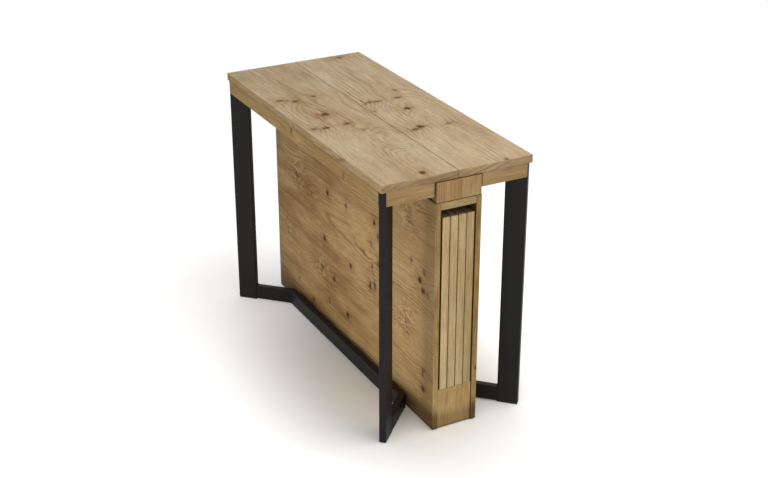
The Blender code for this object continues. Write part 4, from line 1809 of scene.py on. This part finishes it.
@dataclass
class SlideSets(Assembly):
    """The telescopic slides under both ends of the top."""

    middle: float = 0.3318
    pitch: float = 0.0120
    bottom: float = 0.7016
    top: float = 0.7370
    half_length: float = 0.2020
    chamber: float = 0.0107
    stages: int = 3
    screw_places: Triple = (0.095, 0.145, 0.190)

    def members(self) -> dict[str, list[float]]:
        """Gives where each body's members lie along Y.

        Returns:
            The places by body, fixed members first.
        """
        found = {"store": [self.middle * end.value for end in End]}
        for side in Side:
            for step in range(1, self.stages + 2):
                body = f"{side.word}_stage_{step}" if step <= self.stages else side.body
                reach = self.middle + side.value * step * self.pitch
                found[body] = [reach * end.value for end in End]
        return found

    def dress_members(self) -> None:
        """Gives every member its drawn aluminium."""
        names = [f"{end.word}_slide_fixed" for end in End]
        for side in Side:
            for end in End:
                stem = f"{side.word}_{end.word}_slide"
                names.append(f"{stem}_end")
                names.extend(f"{stem}_stage_{step}" for step in range(1, self.stages + 1))
        self.dress(names, self.wardrobe.aluminium)

    def build_plugs(self) -> None:
        """Closes the hollow chambers at both ends of every member."""
        heights = (self.bottom + self.chamber / 2, self.top - self.chamber / 2)
        for body, rows in self.members().items():
            places = []
            for way, turn in ((-1, math.pi), (1, 0.0)):
                spots = [Vector((way * self.half_length, y, z)) for y in rows for z in heights]
                places.extend(at(spots, Matrix.Rotation(turn, 4, "Z")))
            self.fittings.fit(Fitting.PLUG, f"{body}_slide_plugs", body, places)

    def build_screws(self) -> None:
        """Screws the outermost members up to their slabs."""
        members = self.members()
        for side in Side:
            spots = [(side.value * x, y) for x in self.screw_places for y in members[side.body]]
            seats = [Vector((x, y, self.bottom)) for x, y in spots]
            self.fittings.fit(Fitting.SCREW, f"{side.word}_slide_screws", side.body, at(seats))

    def build(self) -> None:
        """Dresses the slides and adds plugs and screws."""
        self.dress_members()
        self.build_plugs()
        self.build_screws()


def set_up(data: bpy.types.Light | bpy.types.Camera, place: Vector, way: Vector) -> Piece:
    """Puts a lamp or a camera in the scene.

    Args:
        data: The lamp or the camera.
        place: Where it stands.
        way: The way that it looks.

    Returns:
        Its object.
    """
    holder = bpy.data.objects.new(data.name, data)
    bpy.context.scene.collection.objects.link(holder)
    holder.location = place
    holder.rotation_mode = "QUATERNION"
    holder.rotation_quaternion = way.to_track_quat("-Z", "Y")
    return holder


@dataclass(frozen=True)
class Lamp:
    """A soft square lamp that points at the middle of the table."""

    name: str
    place: Triple
    size: float
    power: float
    aim: Triple = (0.0, 0.0, 0.40)

    def hang(self) -> None:
        """Hangs the lamp."""
        lamp = bpy.data.lights.new(self.name, "AREA")
        lamp.shape = "SQUARE"
        lamp.size = self.size
        lamp.energy = self.power
        set_up(lamp, Vector(self.place), Vector(self.aim) - Vector(self.place))


@dataclass
class Studio:
    """A pale floor with a painted shadow and a painted warm bounce round the table, soft light and the
    camera at the photograph's angle.
    """

    azimuth: float = -28.03
    elevation: float = 25.09
    focal_pixels: float = 1421.3
    eye: Triple = (-1.7445, -3.3697, 2.1356)
    horizon: float = 0.41
    zenith: float = 0.58
    floor_size: float = 24.0
    floor_tone: Tone = (0.82, 0.82, 0.82, 1.0)
    # Painted warm bounce: the tone the camera sees near the table, as if light from the wood fell there
    bounce_tint_near: Tone = (0.945, 0.893, 0.785, 1.0)
    floor_far: Tone = (0.975, 0.97, 0.962, 1.0)
    # Painted shade: the camera glow, low inside the oval round the table and high outside it
    floor_glow: Span = (0.04, 0.36)
    shadow_middle: Triple = (-0.06, -0.27, 0.0)
    shadow_half: Triple = (0.345, 0.64, 1.0)
    shadow_fade: Span = (0.45, 1.45)
    tint_fade: Span = (0.15, 0.74)
    white_half: Triple = (1.45, 0.95, 1.0)
    white_fade: Span = (1.2, 1.8)
    key: Lamp = Lamp("key", (0.50, -0.80, 3.4), size=1.8, power=52.0)
    fill: Lamp = Lamp("fill", (-2.75, -2.35, 1.0), size=2.4, power=28.0)

    def build_world(self) -> None:
        """Lights everything softly, and shows white to the camera and to reflections."""
        world = bpy.data.worlds.new("studio")
        bpy.context.scene.world = world
        sheet = Sheet(blank(world))
        height = sheet.axes(sheet.add("ShaderNodeTexCoord").outputs["Generated"])["Z"]
        dome = {"Value": height, "To Min": self.horizon, "To Max": self.zenith}
        sky = sheet.add("ShaderNodeMapRange", dome).outputs["Result"]
        share = {"Value": sheet.seen(), "To Min": sky, "To Max": 1.0}
        strength = sheet.add("ShaderNodeMapRange", share).outputs["Result"]
        light = sheet.add("ShaderNodeBackground", {"Color": WHITE, "Strength": strength})
        sheet.add("ShaderNodeOutputWorld", {"Surface": light.outputs["Background"]})

    def distance(self, sheet: Sheet, half: Triple) -> Socket:
        """Gives how far a place on the floor lies from the middle of the painted shadow.

        Args:
            sheet: The floor's sheet.
            half: The half axes of the oval that counts as 1.

        Returns:
            The distance.
        """
        place = sheet.add("ShaderNodeTexCoord").outputs["Object"]
        offset = sheet.vector("SUBTRACT", place, self.shadow_middle)
        return sheet.vector("LENGTH", sheet.vector("DIVIDE", offset, half))

    def floor_finish(self) -> Material:
        """Makes the floor's matt tone with a painted shadow: for the camera it glows little inside an oval
        round the table and more outside it, over the real shadow, with a painted warm bounce near the table;
        far off it turns white.

        Returns:
            The material.
        """
        material = bpy.data.materials.new("studio_floor")
        sheet = Sheet(blank(material))
        seen = sheet.seen()
        distance = self.distance(sheet, self.shadow_half)
        # Painted warm bounce near the table, fading to the plain tone farther off
        shown = sheet.tint(self.bounce_tint_near, self.floor_far, sheet.fade(distance, *self.tint_fade))
        matt = sheet.add("ShaderNodeBsdfDiffuse", {"Color": sheet.tint(self.floor_tone, shown, seen)})
        # Painted shade: less glow inside the oval, so the floor there is darker whatever light falls
        lift = sheet.times(sheet.fade(distance, *self.shadow_fade, *self.floor_glow), seen)
        glow = sheet.add("ShaderNodeEmission", {"Strength": lift})
        both = sheet.add("ShaderNodeAddShader", {0: matt.outputs["BSDF"], 1: glow.outputs["Emission"]})
        far = sheet.fade(self.distance(sheet, self.white_half), *self.white_fade)
        white = sheet.add("ShaderNodeEmission", {"Strength": 1.0})
        shares = {0: sheet.times(far, seen), 1: both.outputs["Shader"], 2: white.outputs["Emission"]}
        mixed = sheet.add("ShaderNodeMixShader", shares)
        sheet.add("ShaderNodeOutputMaterial", {"Surface": mixed.outputs["Shader"]})
        return material

    def build_floor(self) -> None:
        """Lays the floor."""
        Bench.clear()
        bpy.ops.mesh.primitive_plane_add(size=self.floor_size)
        floor = bpy.context.object
        floor.name = "studio_floor"
        floor.data.materials.append(self.floor_finish())

    def build_camera(self) -> None:
        """Sets the camera where the photograph was taken from."""
        camera = bpy.data.cameras.new("camera")
        camera.sensor_width = SENSOR_WIDTH
        camera.lens = self.focal_pixels / IMAGE_WIDTH * SENSOR_WIDTH
        turn = math.radians(self.azimuth)
        rise = math.radians(self.elevation)
        level = math.cos(rise)
        back = Vector((math.sin(turn) * level, -math.cos(turn) * level, math.sin(rise)))
        bpy.context.scene.camera = set_up(camera, Vector(self.eye), -back)

    def build(self) -> None:
        """Shows colours as they are written, and builds the studio."""
        bpy.context.scene.view_settings.view_transform = "Standard"
        self.build_world()
        self.build_floor()
        for lamp in (self.key, self.fill):
            lamp.hang()
        self.build_camera()
        log.info("studio ready")


def main() -> None:
    """Builds the table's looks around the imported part."""
    logging.basicConfig(level=logging.INFO, format="%(message)s")
    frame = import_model()
    Bench.clear()
    Studio().build()
    wardrobe = Wardrobe()
    kit = (wardrobe, Fittings(wardrobe), frame["nodes"])
    for side in Side:
        TopHalf(*kit, side).build()
        LegFrame(*kit, side).build()
    LeafStore(*kit).build()
    StoredLeaves(*kit).build()
    SlideSets(*kit).build()


if __name__ == "__main__":
    main()
